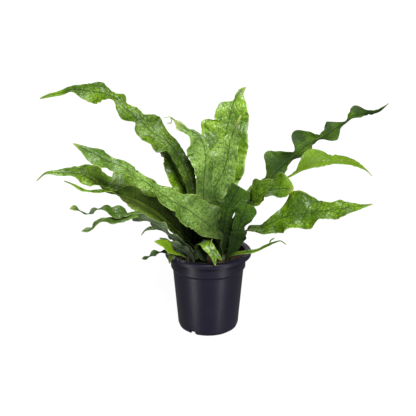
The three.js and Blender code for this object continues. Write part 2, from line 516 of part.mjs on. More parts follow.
// Height of the peat: a slight crown with lumps
function soilHeight(x, y) {
  const r = Math.hypot(x, y) / BAND_RADIUS;
  const lumps = Math.sin(x * 0.31 + 1.2) * Math.cos(y * 0.27) + 0.6 * Math.sin(x * 0.53 - y * 0.41);
  return SOIL_TOP + SOIL_CROWN * (1 - r * r) + 0.8 * lumps * (1 - r ** 6);
}

function soilSolid() {
  const under = CHANNEL_RISE + FLOOR + CLEARANCE;
  const edge = (z) => {
    const share = (z - FOOT_HEIGHT) / (STEP_BOTTOM - FOOT_HEIGHT);
    return WALL_FOOT_RADIUS + (WALL_TOP_RADIUS - WALL_FOOT_RADIUS) * share - WALL - CLEARANCE;
  };
  const bandEdge = BAND_FOOT_RADIUS - WALL - CLEARANCE - 0.1;
  const wall = [
    [FLOOR_RADIUS - 0.5, under], [edge(FOOT_HEIGHT), FOOT_HEIGHT + CLEARANCE],
    [edge(STEP_BOTTOM), STEP_BOTTOM + 1],
    [bandEdge - 0.1, BAND_BOTTOM + 2.5], [bandEdge, SOIL_TOP],
  ];
  const vertices = [];
  const faces = [];
  const ring = (radius, height) => {
    const start = vertices.length;
    for (let k = 0; k < POT_SIDES; k++) {
      const angle = (2 * Math.PI * k) / POT_SIDES;
      const x = radius * Math.cos(angle);
      const y = radius * Math.sin(angle);
      vertices.push(new THREE.Vector3(x, y, height(x, y)));
    }
    return start;
  };
  const join = (low, high) => {
    for (let k = 0; k < POT_SIDES; k++) {
      const n = (k + 1) % POT_SIDES;
      faces.push([low + k, low + n, high + n], [low + k, high + n, high + k]);
    }
  };
  vertices.push(new THREE.Vector3(0, 0, under));
  let before = null;
  wall.forEach(([radius, z]) => {
    const now = ring(radius, () => z);
    if (before === null) {
      for (let k = 0; k < POT_SIDES; k++) faces.push([0, now + ((k + 1) % POT_SIDES), now + k]);
    } else {
      join(before, now);
    }
    before = now;
  });
  for (let i = SOIL_RINGS; i >= 1; i--) {
    const now = ring((bandEdge * 0.985 * i) / SOIL_RINGS, soilHeight);
    join(before, now);
    before = now;
  }
  const top = vertices.length;
  vertices.push(new THREE.Vector3(0, 0, soilHeight(0, 0)));
  for (let k = 0; k < POT_SIDES; k++) faces.push([before + k, before + ((k + 1) % POT_SIDES), top]);
  return toSolid(geometryOf(vertices, faces));
}

// Creeping stems: knotted rods that lie half sunk in the peat
const RHIZOMES = [
  ["rhizome_front", [[-41, -33], [-24, -42], [-4, -43], [18, -40], [40, -30]]],
  ["rhizome_middle", [[-34, -14], [-14, -16], [2, -10], [22, -10], [44, -2]]],
  ["rhizome_back", [[-30, 6], [-10, 16], [8, 22], [26, 24], [42, 20]]],
];

function rhizome(route, extra) {
  const curve = new THREE.CatmullRomCurve3(route.map(([x, y]) => new THREE.Vector3(x, y, soilHeight(x, y))));
  const points = curve.getSpacedPoints(RHIZOME_STEPS);
  const radii = points.map((p, i) => {
    const knot = 0.8 * Math.sin(i * 1.9) + 0.5 * Math.sin(i * 3.1 + 1);
    const taper = i === 0 || i === points.length - 1 ? 0.55 : 1;
    return (RHIZOME_RADIUS + knot) * taper + extra;
  });
  if (extra > 0) {
    points[0].addScaledVector(curve.getTangentAt(0), -extra);
    points[points.length - 1].addScaledVector(curve.getTangentAt(1), extra);
  }
  return toSolid(rod(points, radii, RHIZOME_SIDES));
}

// Plain hole that a stalk stands in, with its rings at the stalk's own rows
function socket(blade) {
  const points = [];
  const radii = [];
  for (let i = 0; i <= blade.rows; i++) {
    const t = paramAt(blade.run, (i * blade.length) / blade.rows);
    const [x, y, z, left, right] = curveAt(blade.stations, t);
    points.push(new THREE.Vector3(x, y, z));
    radii.push(Math.max(SOCKET_RADIUS, Math.hypot(Math.max(left, right), STALK / 2) * 1.15 + CLEARANCE));
    if (z > SOCKET_TOP) break;
  }
  points.unshift(points[0].clone().setZ(points[0].z - 1.5));
  radii.unshift(radii[0]);
  return toSolid(rod(points, radii, SOCKET_SIDES));
}

const sockets = fronds.map(socket);
let soil = soilSolid();
for (const [name, route] of RHIZOMES) {
  soil = soil.subtract(rhizome(route, CLEARANCE));
  let stem = rhizome(route, 0);
  sockets.forEach((hole) => { stem = stem.subtract(hole); });
  addMesh(name, fromSolid(stem), "#4d4a2c", 0.8);
}
sockets.forEach((hole) => { soil = soil.subtract(hole); });
addMesh("pot", fromSolid(potSolid()), "#2b2a33", 0.45);
addMesh("soil", fromSolid(soil), "#3a2018", 0.95);

export default group;
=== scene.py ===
# Looks of a potted crocodile fern: puckered glossy fronds, scaly creeping stems, peat and a black
# nursery pot.

import math
import random

import bmesh
import bpy
import numpy as np
from mathutils import Matrix, Vector, noise


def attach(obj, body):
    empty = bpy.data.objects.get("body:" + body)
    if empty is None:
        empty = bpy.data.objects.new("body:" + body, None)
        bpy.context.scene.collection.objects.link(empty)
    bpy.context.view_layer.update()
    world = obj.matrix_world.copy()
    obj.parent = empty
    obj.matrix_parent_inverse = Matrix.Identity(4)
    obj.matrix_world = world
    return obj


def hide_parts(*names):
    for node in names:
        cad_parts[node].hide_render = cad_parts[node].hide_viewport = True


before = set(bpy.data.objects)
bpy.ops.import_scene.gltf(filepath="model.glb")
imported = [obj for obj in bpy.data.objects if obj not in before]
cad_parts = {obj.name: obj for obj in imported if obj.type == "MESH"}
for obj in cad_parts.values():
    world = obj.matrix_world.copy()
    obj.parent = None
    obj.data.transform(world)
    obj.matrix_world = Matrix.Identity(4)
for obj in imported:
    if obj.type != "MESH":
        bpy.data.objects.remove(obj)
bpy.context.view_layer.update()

MM = 0.001

# Camera of the photograph, and the light from all round
CAMERA_PITCH = 18.574
CAMERA_DISTANCE = 1.5
CAMERA_AIM = (-0.0003, 0.0, 0.2055)
CAMERA_LENS = 80.88
AMBIENT = 0.21

# Pot, as in the solids, in mm and degrees
RIM_RADIUS = 70
RIM_TOP = 134
RIM_DEPTH = 6.5
BAND_RADIUS = 61.5
BAND_FOOT_RADIUS = 61
BAND_BOTTOM = 108
STEP_BOTTOM = 104
WALL_TOP_RADIUS = 58
WALL_FOOT_RADIUS = 49.7
FOOT_HEIGHT = 9
FOOT_RING_RADIUS = 43
FLOOR_RADIUS = 46
WALL = 1.5
FLOOR = 2
PAD_RADIUS = 20
CHANNEL_INNER = 23
CHANNEL_OUTER = 38
CHANNEL_RISE = 3
NOTCHES = 3
NOTCH_WIDTH = 12
NOTCH_DEPTH = 30
NOTCH_HEIGHT = 8.5
NOTCH_HEADING = 237
DRAIN_HOLES = 6
DRAIN_RADIUS = 4
# How far the cutters reach out of the pot, and the notches' corners
NOTCH_PAST_WALL = 7
NOTCH_BELOW_FOOT = 4
NOTCH_CORNER = 1.5
DRAIN_CUT = 20
# Steps round the pot and the peat, finer than in the solids
POT_STEPS = 144

# Peat and creeping stems, in mm, and how many rings, rows, sides and bits they have
CLEARANCE = 0.3
SOIL_TOP = 120
SOIL_CROWN = 2.5
SOIL_RINGS = 36
CRUMBS = 900
FIBRES = 90
RHIZOME_RADIUS = 6.5
RHIZOME_ROWS = 90
RHIZOME_SIDES = 36
SCALES = 260

# Fronds, in mm, or in shares of a width or a length
BLADE = 0.9
MIDRIB = 0.8
STALK = 2.6
STALK_LENGTH = 45
STALK_FOOT = 108
STALK_BEND = 118
LOBE = 0.06
LEAST_HALF_WIDTH = 0.8
FORK_LEAVES = 0.03
ROW_PITCH = 1.4
COLUMN_PITCH = 1.5
PUCKER = {"mature": 0.8, "young": 0.3, "old": 0.5}
PUCKER_LONG = 7.0
PUCKER_WIDE = 5.2
VEIN_SLANT = 0.5
RIPPLE = 1.4
RIPPLE_SIZE = 24.0
RUFFLE = 1.8
RUFFLE_PITCH = 17.0
NIBBLE = 0.5
NIBBLE_PITCH = 15.0
RIB_WIDTH = 0.75
GROOVE = 0.18
RIB_AT_TIP = 0.2
PALE_MARGIN_FROM = 0.93
PALE_TIP_FROM = 0.95
SHADE_STARTS = 30
SHADE_OF_AGE = {"mature": 125, "young": 40, "old": 100}
# Steps between one frond's patterns and the next one's
PATTERN_STEP = 3.7
FORK_PATTERN_STEP = 5.1


def smooth(t):
    """Eases from 0 to 1 as t does, and stays there outside."""
    k = np.clip(t, 0, 1)
    return k * k * (3 - 2 * k)


def linear(hex_colour):
    """sRGB hex to the linear colour that a shader takes."""
    parts = [int(hex_colour[i:i + 2], 16) / 255 for i in (1, 3, 5)]
    return (*[p / 12.92 if p <= 0.04045 else ((p + 0.055) / 1.055) ** 2.4 for p in parts], 1)


def add(tree, kind, settings=None, links=None):
    """One node: its own properties are in lower case, its sockets' values by name or number."""
    new = tree.nodes.new(kind)
    for key, value in (settings or {}).items():
        if isinstance(key, str) and key.islower():
            setattr(new, key, value)
        else:
            new.inputs[key].default_value = value
    for key, source in (links or {}).items():
        tree.links.new(source, new.inputs[key])
    return new


def new_material(name, **sockets):
    """A material with one shader whose named sockets have these values."""
    material = bpy.data.materials.new(name)
    material.use_nodes = True
    shader = material.node_tree.nodes["Principled BSDF"]
    for key, value in sockets.items():
        shader.inputs[key.replace("_", " ")].default_value = value
    return material, material.node_tree, shader


# Materials


def frond_finish(name, leaf, bright, vein, rib, under, edge, pale, foot, roughness):
    """Live fern leaf with a waxy cuticle: cells catch the light, and the veins between them lie dark."""
    material, tree, shader = new_material(name, IOR=1.45, Specular_IOR_Level=0.2, Coat_Roughness=0.28)
    place = add(tree, "ShaderNodeTexCoord").outputs["Object"]
    across = add(tree, "ShaderNodeUVMap", {"uv_map": "blade"}).outputs["UV"]
    net, on_rib, on_edge, on_tip, painted_crown_shade, above = (
        add(tree, "ShaderNodeAttribute", {"attribute_name": key}).outputs["Fac"]
        for key in ("net", "rib", "edge", "tip", "foot", "above"))
    # Lighter and darker patches about 36 mm wide
    patches = add(tree, "ShaderNodeTexNoise", {"Scale": 28.0, "Detail": 3.0}, {"Vector": place}).outputs[0]
    patch = add(tree, "ShaderNodeMapRange", {1: 0.38, 2: 0.64}, {0: patches}).outputs[0]
    body = add(tree, "ShaderNodeMix", {"data_type": "RGBA", 6: linear(leaf), 7: linear(bright)}, {0: patch})
    # Small veins about 3.2 mm apart, inside the cells of the main veins
    small = add(tree, "ShaderNodeTexVoronoi", {"feature": "DISTANCE_TO_EDGE", "Scale": 310.0},
                {"Vector": across})
    fine = add(tree, "ShaderNodeMapRange", {1: 0.0, 2: 0.17}, {0: small.outputs["Distance"]}).outputs[0]
    on_small = add(tree, "ShaderNodeMapRange", {1: 0.0, 2: 1.0, 3: 0.6, 4: 0.0}, {0: fine}).outputs[0]
    on_main = add(tree, "ShaderNodeMapRange", {1: 0.0, 2: 0.3, 3: 0.66, 4: 0.0}, {0: net}).outputs[0]
    colour = body.outputs[2]
    for mask, hue in ((on_small, vein), (on_main, vein), (on_rib, rib), (on_edge, edge), (on_tip, pale)):
        layer = add(tree, "ShaderNodeMix", {"data_type": "RGBA", 7: linear(hue)}, {0: mask, 6: colour})
        colour = layer.outputs[2]
    dull = add(tree, "ShaderNodeMix", {"data_type": "RGBA", 0: 0.35, 7: linear(under)}, {6: colour})
    sides = add(tree, "ShaderNodeMix", {"data_type": "RGBA"}, {0: above, 6: dull.outputs[2], 7: colour})
    # Painted shade of the crown: the leaf darkens towards the foot colour near each frond's base
    painted_shade_mix = add(tree, "ShaderNodeMix", {"data_type": "RGBA", 7: linear(foot)},
                 {0: painted_crown_shade, 6: sides.outputs[2]})
    tree.links.new(painted_shade_mix.outputs[2], shader.inputs["Base Color"])
    grain = add(tree, "ShaderNodeTexNoise", {"Scale": 900.0, "Detail": 2.0}, {"Vector": place}).outputs[0]
    sheen = add(tree, "ShaderNodeMapRange", {3: roughness - 0.08, 4: roughness + 0.14}, {0: grain}).outputs[0]
    matt = add(tree, "ShaderNodeMix", {"data_type": "FLOAT", 2: 0.55}, {0: above, 3: sheen}).outputs[0]
    # Under the painted crown shade near the foot the leaf is also made rough
    rough = add(tree, "ShaderNodeMix", {"data_type": "FLOAT", 3: 0.9}, {0: painted_crown_shade, 2: matt}).outputs[0]
    tree.links.new(rough, shader.inputs["Roughness"])
    # The wax coat lies on the upper face, and is dimmed under the painted crown shade near the foot
    outside_painted_shade = add(tree, "ShaderNodeMapRange", {3: 1.0, 4: 0.0}, {0: painted_crown_shade}).outputs[0]
    coat = add(tree, "ShaderNodeMapRange", {3: 0.0, 4: 0.2}, {0: above}).outputs[0]
    film = add(tree, "ShaderNodeMath", {"operation": "MULTIPLY"}, {0: coat, 1: outside_painted_shade}).outputs[0]
    tree.links.new(film, shader.inputs["Coat Weight"])
    low = add(tree, "ShaderNodeBump", {"Strength": 0.32, "Distance": 0.0005}, {"Height": fine})
    high = add(tree, "ShaderNodeBump", {"Strength": 0.1, "Distance": 0.0002},
               {"Height": grain, "Normal": low.outputs[0]})
    tree.links.new(high.outputs[0], shader.inputs["Normal"])
    return material


def pot_finish():
    """Injection-moulded black polypropylene: satin, with a cold tint, fine grain and some dust."""
    material, tree, shader = new_material("black_polypropylene_moulded", IOR=1.49, Specular_IOR_Level=0.34)
    place = add(tree, "ShaderNodeTexCoord").outputs["Object"]
    cloud = add(tree, "ShaderNodeTexNoise", {"Scale": 35.0, "Detail": 5.0}, {"Vector": place}).outputs[0]
    # Fine tool marks run round the wall, about 1.3 mm apart
    turned = add(tree, "ShaderNodeMapping", {"Scale": (1.0, 1.0, 40.0)}, {"Vector": place}).outputs[0]
    flow = add(tree, "ShaderNodeTexNoise", {"Scale": 20.0, "Detail": 2.0}, {"Vector": turned}).outputs[0]
    dust = add(tree, "ShaderNodeMapRange", {1: 0.5, 2: 0.75, 3: 0.0, 4: 0.35}, {0: cloud}).outputs[0]
    tint = add(tree, "ShaderNodeMix", {"data_type": "RGBA", 6: linear("#13111f"), 7: linear("#1e1c2b")},
               {0: dust})
    tree.links.new(tint.outputs[2], shader.inputs["Base Color"])
    worn = add(tree, "ShaderNodeMapRange", {3: 0.3, 4: 0.46}, {0: flow}).outputs[0]
    tree.links.new(worn, shader.inputs["Roughness"])
    grain = add(tree, "ShaderNodeTexNoise", {"Scale": 1400.0, "Detail": 2.0}, {"Vector": place}).outputs[0]
    pores = add(tree, "ShaderNodeBump", {"Strength": 0.12, "Distance": 0.0002}, {"Height": grain})
    marks = add(tree, "ShaderNodeBump", {"Strength": 0.35, "Distance": 0.0004},
                {"Height": flow, "Normal": pores.outputs[0]})
    tree.links.new(marks.outputs[0], shader.inputs["Normal"])
    return material


def peat_finish():
    """Damp milled peat: matt red-brown crumbs, darker overall as painted shade from the fronds, with darker
    wet patches at random and pale fibres.
    """
    material, tree, shader = new_material("damp_milled_peat", IOR=1.4)
    place = add(tree, "ShaderNodeTexCoord").outputs["Object"]
    lumps = add(tree, "ShaderNodeTexNoise", {"Scale": 260.0, "Detail": 6.0}, {"Vector": place}).outputs[0]
    share = add(tree, "ShaderNodeMapRange", {1: 0.35, 2: 0.68}, {0: lumps}).outputs[0]
    # Both browns are kept dark: partly the peat's own damp colour, partly painted shade from the fronds above
    body = add(tree, "ShaderNodeMix", {"data_type": "RGBA", 6: linear("#140906"), 7: linear("#3e1e12")},
               {0: share})
    specks = add(tree, "ShaderNodeTexNoise", {"Scale": 1100.0, "Detail": 2.0}, {"Vector": place}).outputs[0]
    pale = add(tree, "ShaderNodeMapRange", {1: 0.62, 2: 0.7, 3: 0.0, 4: 0.5}, {0: specks}).outputs[0]
    mixed = add(tree, "ShaderNodeMix", {"data_type": "RGBA", 7: linear("#6a422a")},
                {0: pale, 6: body.outputs[2]})
    tree.links.new(mixed.outputs[2], shader.inputs["Base Color"])
    damp = add(tree, "ShaderNodeMapRange", {3: 0.7, 4: 0.95}, {0: lumps}).outputs[0]
    tree.links.new(damp, shader.inputs["Roughness"])
    rough = add(tree, "ShaderNodeBump", {"Strength": 0.6, "Distance": 0.0012}, {"Height": specks})
    tree.links.new(rough.outputs[0], shader.inputs["Normal"])
    return material


def rhizome_finish():
    """Creeping stem: green-brown skin under papery dark brown scales."""
    material, tree, shader = new_material("creeping_stem_skin_and_scales", IOR=1.45)
    place = add(tree, "ShaderNodeTexCoord").outputs["Object"]
    scaly = add(tree, "ShaderNodeAttribute", {"attribute_name": "scale"}).outputs["Fac"]
    blotch = add(tree, "ShaderNodeTexNoise", {"Scale": 320.0, "Detail": 4.0}, {"Vector": place}).outputs[0]
    skin = add(tree, "ShaderNodeMix", {"data_type": "RGBA", 6: linear("#1c200e"), 7: linear("#3a421c")},
               {0: blotch})
    paper = add(tree, "ShaderNodeMix", {"data_type": "RGBA", 6: linear("#1c110a"), 7: linear("#56371f")},
                {0: blotch})
    both = add(tree, "ShaderNodeMix", {"data_type": "RGBA"},
               {0: scaly, 6: skin.outputs[2], 7: paper.outputs[2]})
    tree.links.new(both.outputs[2], shader.inputs["Base Color"])
    matt = add(tree, "ShaderNodeMapRange", {3: 0.55, 4: 0.85}, {0: blotch}).outputs[0]
    tree.links.new(matt, shader.inputs["Roughness"])
    ridged = add(tree, "ShaderNodeBump", {"Strength": 0.4, "Distance": 0.0006}, {"Height": blotch})
    tree.links.new(ridged.outputs[0], shader.inputs["Normal"])
    return material


# Each leaf's two greens, then its veins, midrib, underside, margin, tip and painted crown shade at the foot,
# and its roughness.
# Mature leaves shine, the leaves deep in the crown are a darker copy that paints their shade, and clear and
# light ones are paler. Young leaves are soft and more matt, old ones dull, fading ones yellowed and lightened
# as painted light where they lie in shade, and grey ones have a grey underside.
FROND_FINISH = {
    "mature": frond_finish("mature_frond_waxy_leaf", "#405f06", "#6a8e14", "#183000", "#1e3204",
                           "#34461a", "#8ba046", "#9aa24c", "#060e00", 0.4),
    # A darker copy of the mature leaf, as painted shade for the fronds deep in the crown
    "painted_shade_inner": frond_finish("mature_frond_painted_shade_leaf", "#365a04", "#5c8a14", "#163000", "#1a3404",
                          "#304c12", "#6a8c30", "#6a8c30", "#061400", 0.5),
    "clear": frond_finish("mature_frond_clear_green_leaf", "#4e7016", "#80a62c", "#203a04", "#243806",
                          "#3c501a", "#94ac4a", "#a0aa50", "#060e00", 0.4),
    "light": frond_finish("mature_frond_light_leaf", "#527226", "#86a84c", "#223e0a", "#26390a",
                          "#40561e", "#98ae52", "#a6ae58", "#060e00", 0.4),
    "young": frond_finish("young_frond_soft_leaf", "#567404", "#6e8e10", "#42600a", "#526418",
                          "#6c7c36", "#96a64a", "#a8ac60", "#2c400c", 0.5),
    "old": frond_finish("old_frond_dull_leaf", "#1c3202", "#5a7e1c", "#142a00", "#142204",
                        "#2c4410", "#627232", "#6e7836", "#030800", 0.42),
    # A yellowed leaf, made lighter still as painted light for a frond that lies in shade
    "fading": frond_finish("fading_frond_yellow_green_painted_light_leaf", "#a6cc50", "#c0dc6c", "#8cb03c", "#74903a",
                           "#b0d064", "#c4d880", "#c4d880", "#4c6c16", 0.5),
    "grey": frond_finish("old_frond_grey_underside", "#385412", "#4e6c20", "#223a08", "#323f1a",
                         "#7e8876", "#7d8f48", "#7c8a42", "#20281a", 0.45),
}
POT_FINISH = pot_finish()
PEAT_FINISH = peat_finish()
RHIZOME_FINISH = rhizome_finish()


def keep(piece, material, slot, *nodes):
    """Gives a finished piece its material and its body, and hides the nodes that it stands for. The slot is
    not used.
    """
    piece.data.materials.clear()
    piece.data.materials.append(material)
    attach(piece, "root")
    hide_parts(*nodes)


def new_piece(name, mesh):
    """An object of that mesh, at the origin and in the scene."""
    piece = bpy.data.objects.new(name, mesh)
    bpy.context.scene.collection.objects.link(piece)
    return piece


def applied(piece):
    """Replaces a piece's mesh by what its modifiers make of it."""
    bpy.context.view_layer.update()
    evaluated = piece.evaluated_get(bpy.context.evaluated_depsgraph_get())
    mesh = bpy.data.meshes.new_from_object(evaluated)
    old = piece.data
    piece.modifiers.clear()
    piece.data = mesh
    bpy.data.meshes.remove(old)
    mesh.name = piece.name


def cut_or_join(piece, other, operation):
    """Boolean of a piece with another object, which is then removed."""
    modifier = piece.modifiers.new("boolean", "BOOLEAN")
    modifier.operation = operation
    modifier.solver = "MANIFOLD"
    modifier.object = other
    applied(piece)
    spare = other.data
    bpy.data.objects.remove(other)
    bpy.data.meshes.remove(spare)


# Shape of a blade, by the same stations and formula as in the solids


def curve_at(stations, t):
    """Smooth curve through the stations at each t from 0 to 1 of their summed distance."""
    knots = np.array(stations, float)
    gaps = np.linalg.norm(np.diff(knots[:, :3], axis=0), axis=1)
    slope = np.diff(knots, axis=0) / gaps[:, None]
    lean = np.empty_like(knots)
    lean[0], lean[-1] = slope[0], slope[-1]
    near, far = gaps[:-1, None], gaps[1:, None]
    lean[1:-1] = (slope[1:] * near + slope[:-1] * far) / (near + far)
    run = np.concatenate([[0], np.cumsum(gaps)])
    distance = np.clip(t, 0, 1) * run[-1]
    i = np.clip(np.searchsorted(run, distance, side="left") - 1, 0, len(gaps) - 1)
    h = gaps[i][:, None]
    w = np.minimum((distance - run[i]) / gaps[i], 1)[:, None]
    return ((2 * w**3 - 3 * w**2 + 1) * knots[i] + (w**3 - 2 * w**2 + w) * h * lean[i]
            + (3 * w**2 - 2 * w**3) * knots[i + 1] + (w**3 - w**2) * h * lean[i + 1])


def unit(vectors):
    """The same directions, each of length 1."""
    return vectors / np.linalg.norm(vectors, axis=-1, keepdims=True)


class Blade:
    """One blade or fork: its stations, its length and its middle surface."""

    def __init__(self, stations, wave, is_fork):
        heading, waves, self.lift, self.phase = wave
        self.stations = stations
        self.heading = math.radians(heading)
        self.waves = max(2, waves // 2) if is_fork else waves
        self.is_fork = is_fork
        self.steps = np.linspace(0, 1, 401)
        points = curve_at(stations, self.steps)[:, :3]
        self.run = np.concatenate([[0], np.cumsum(np.linalg.norm(np.diff(points, axis=0), axis=1))])
        self.length = self.run[-1]

    def growth(self, u):
        """How much of the waves, lobes and puckers there is: none on the stalk, less near the tip."""
        if self.is_fork:
            return smooth(u / 0.3) * (1 - 0.7 * smooth((u - 0.7) / 0.3))
        return smooth((u * self.length - 25) / 40) * (1 - 0.7 * smooth((u - 0.85) / 0.15))

    def stalk(self, u):
        """1 on the stalk, falling to 0 where the blade begins."""
        return u * 0 if self.is_fork else 1 - smooth((u * self.length - 15) / STALK_LENGTH)

    def surface(self, u, v):
        """Middle surface and half widths in mm at each u along the blade and v across it."""
        t = np.interp(u * self.length, self.run, self.steps)
        at = curve_at(self.stations, t)
        along = unit(curve_at(self.stations, t + 0.001)[:, :3] - curve_at(self.stations, t - 0.001)[:, :3])
        across = np.array([-math.sin(self.heading), math.cos(self.heading), 0.0])
        across = unit(across - along * (along @ across)[:, None])
        up = np.cross(along, across)
        side = np.where(v > 0, 1, -1)[None, :]
        half = np.maximum(np.where(v[None, :] > 0, at[:, 4:5], at[:, 3:4]), LEAST_HALF_WIDTH)
        cycle = 2 * math.pi * (self.waves * u[:, None] + self.phase + np.where(v > 0, 0.5, 0)[None, :])
        angle = np.radians(at[:, 5:6]) + side * np.radians(at[:, 6:7])
        cos, sin = np.cos(angle)[..., None], np.sin(angle)[..., None]
        outward = across[:, None] * cos + up[:, None] * sin
        raised = up[:, None] * cos - across[:, None] * sin
        grown = self.growth(u)[:, None]
        reach = v[None, :] * half * (1 + LOBE * grown * np.sin(cycle + 0.6))
        lift = self.lift * np.minimum(1, half / 16) * grown * np.abs(v)[None, :] ** 1.6 * np.sin(cycle)
        points = at[:, None, :3] + outward * reach[..., None] + raised * lift[..., None]
        return points, half


def slab(name, rows, columns):
    """Flat closed slab of rows by columns, one unit deep, on which a blade's shape is laid."""
    bm = bmesh.new()
    bmesh.ops.create_grid(bm, x_segments=rows, y_segments=columns, size=1)
    raised = bmesh.ops.extrude_face_region(bm, geom=bm.faces[:], use_keep_orig=True)
    top = [g for g in raised["geom"] if isinstance(g, bmesh.types.BMVert)]
    bmesh.ops.translate(bm, verts=top, vec=(0, 0, 1))
    bmesh.ops.recalc_face_normals(bm, faces=bm.faces[:])
    for face in bm.faces:
        face.smooth = abs(face.normal.z) > 0.5
    mesh = bpy.data.meshes.new(name)
    bm.to_mesh(mesh)
    bm.free()
    return mesh


def net_of(s, w, seed):
    """0 on the main veins and up to 1 in the cells between them, at s mm along and w mm across."""
    a = (s - VEIN_SLANT * np.abs(w)) / PUCKER_LONG
    b = w / PUCKER_WIDE
    flat = np.empty(a.size)
    for k, (x, y) in enumerate(zip(a.ravel().tolist(), b.ravel().tolist())):
        nearest = noise.voronoi((x, y, seed))[0]
        flat[k] = nearest[1] - nearest[0]
    return smooth(flat.reshape(a.shape) / 0.4)


def ripple_of(points, seed):
    """Slow swell of the blade, from -1 to 1."""
    places = (points / RIPPLE_SIZE + seed).reshape(-1, 3).tolist()
    return np.array([noise.noise(p) for p in places]).reshape(points.shape[:2])


def ruffle_of(s, v, pitch, seed):
    """Small uneven wave that each margin carries on top of the wide waves, from about -1 to 1."""
    drift = np.array([[noise.noise((float(k) / 30, seed, side)) for side in (0.0, 4.0)] for k in s[:, 0]])
    side = (v > 0).astype(int)
    turn = 2 * math.pi * (s / pitch + 1.6 * drift[:, side])
    return np.abs(v)[None, :] ** 3 * np.sin(turn + 2.1 * side[None, :]) * (0.6 + drift[:, side])


def blade_mesh(name, blade, seed, pucker, pale_from, shade):
    """Closed blade with its puckers, groove, midrib and thin margins, and its attributes for colour."""
    widest = max(max(s[3], s[4]) for s in blade.stations)
    rows = max(24, round(blade.length / ROW_PITCH))
    columns = 2 * min(24, max(5, round(widest / COLUMN_PITCH)))
    u = np.linspace(0, 1, rows + 1)
    even = np.linspace(-1, 1, columns + 1)
    v = np.sign(even) * np.abs(even) ** 1.2
    points, half = blade.surface(u, v)
    s = np.broadcast_to(u[:, None] * blade.length, half.shape)
    w = v[None, :] * half
    grown = blade.growth(u)[:, None]
    stalk = blade.stalk(u)[:, None]
    sideways = unit(np.gradient(points, axis=1))
    normal = unit(np.cross(np.gradient(points, axis=0), sideways))
    nibble = NIBBLE * grown * np.minimum(1, half / 8) * np.sign(v) * ruffle_of(s, v, NIBBLE_PITCH, seed + 9)
    points = points + sideways * nibble[..., None]
    net = net_of(s, w, seed)
    inside = 1 - np.abs(v)[None, :] ** 8
    broad = np.minimum(1, half / 12)
    relief = grown * (pucker * (net - 0.5) * inside + RIPPLE * ripple_of(points, seed))
    relief = relief * (0.3 + 0.7 * broad) + grown * broad * RUFFLE * ruffle_of(s, v, RUFFLE_PITCH, seed)
    rib = np.exp(-((w / RIB_WIDTH) ** 2)) * (1 - stalk)
    shaped = stalk * np.sqrt(1 - 0.85 * v**2)[None, :] + (1 - stalk) * (1 - 0.5 * np.abs(v) ** 4)[None, :]
    thick = (BLADE + (STALK - BLADE) * stalk) * shaped
    upper = points + normal * (relief + thick / 2 - GROOVE * rib)[..., None]
    raised = MIDRIB * (1 - u[:, None]) + RIB_AT_TIP
    lower = points + normal * (relief - thick / 2 - raised * rib)[..., None]
    mesh = slab(name, rows, columns)
    count = len(mesh.vertices)
    flat = np.empty(count * 3)
    mesh.vertices.foreach_get("co", flat)
    flat = flat.reshape(-1, 3)
    i = np.rint((flat[:, 0] + 1) / 2 * rows).astype(int)
    j = np.rint((flat[:, 1] + 1) / 2 * columns).astype(int)
    above = flat[:, 2] > 0.5
    laid = np.where(above[:, None], upper[i, j], lower[i, j]) * MM
    mesh.vertices.foreach_set("co", laid.ravel())
    margin = smooth((np.abs(v) - PALE_MARGIN_FROM) / (1 - PALE_MARGIN_FROM))
    edge = np.broadcast_to(margin[None, :], half.shape) * 0.6
    tip = np.broadcast_to(smooth((u[:, None] - pale_from) / (1.04 - pale_from)), half.shape)
    # Painted shade of the crown: a frond darkens near its foot and clears over the reach of shade; forks
    # carry none
    depth = 0 if blade.is_fork else 1
    out_of_painted_shade = smooth((u[:, None] * blade.length - SHADE_STARTS) / shade)
    foot = np.broadcast_to(0.9 * depth * (1 - out_of_painted_shade), half.shape)
    shades = {"net": np.maximum(net, 1 - grown)[i, j], "rib": (rib * 0.9)[i, j], "edge": edge[i, j],
              "tip": tip[i, j], "foot": foot[i, j], "above": above}
    for key, values in shades.items():
        layer = mesh.attributes.new(key, "FLOAT", "POINT")
        layer.data.foreach_set("value", values.astype(np.float32))
    corners = np.empty(len(mesh.loops), dtype=np.int32)
    mesh.loops.foreach_get("vertex_index", corners)
    map_points = np.stack([s[i, j], w[i, j]], axis=1)[corners] * MM
    mesh.uv_layers.new(name="blade").data.foreach_set("uv", map_points.astype(np.float32).ravel())
    mesh.update()
    return mesh


# Fronds whose finish isn't the one of their age
FINISH_OF = {"frond_young_crested": "mature", "frond_young_right": "mature",
             "frond_short_behind_left": "mature", "frond_long_left": "clear", "frond_tall_behind": "clear",
             "frond_inner_right": "painted_shade_inner", "frond_right_front": "painted_shade_inner", "frond_wavy_low_left": "grey",
             "frond_grey_low_left": "grey", "frond_pale_below_left": "fading", "frond_forked_tip": "light",
             "frond_centre": "light", "frond_broad_front_left": "light"}
# Share of the length from which a tip turns pale, where it isn't the usual one. At 1 it stays green
PALE_FROM = {"frond_forked_tip": 0.84, "frond_centre": 0.87, "frond_upper_left": 0.97,
             "frond_inner_right": 1.0, "frond_right_front": 1.0}
# How many mm up the shade of the crown reaches, where it isn't what the frond's age gives
SHADE_OF = {"frond_broad_front_left": 160, "frond_inner_right": 265, "frond_right_front": 225,
            "frond_rounded_right": 195, "frond_forked_tip": 185, "frond_centre": 165, "frond_long_left": 235,
            "frond_short_behind_left": 50, "frond_upper_left": 305}
frond_count = 0


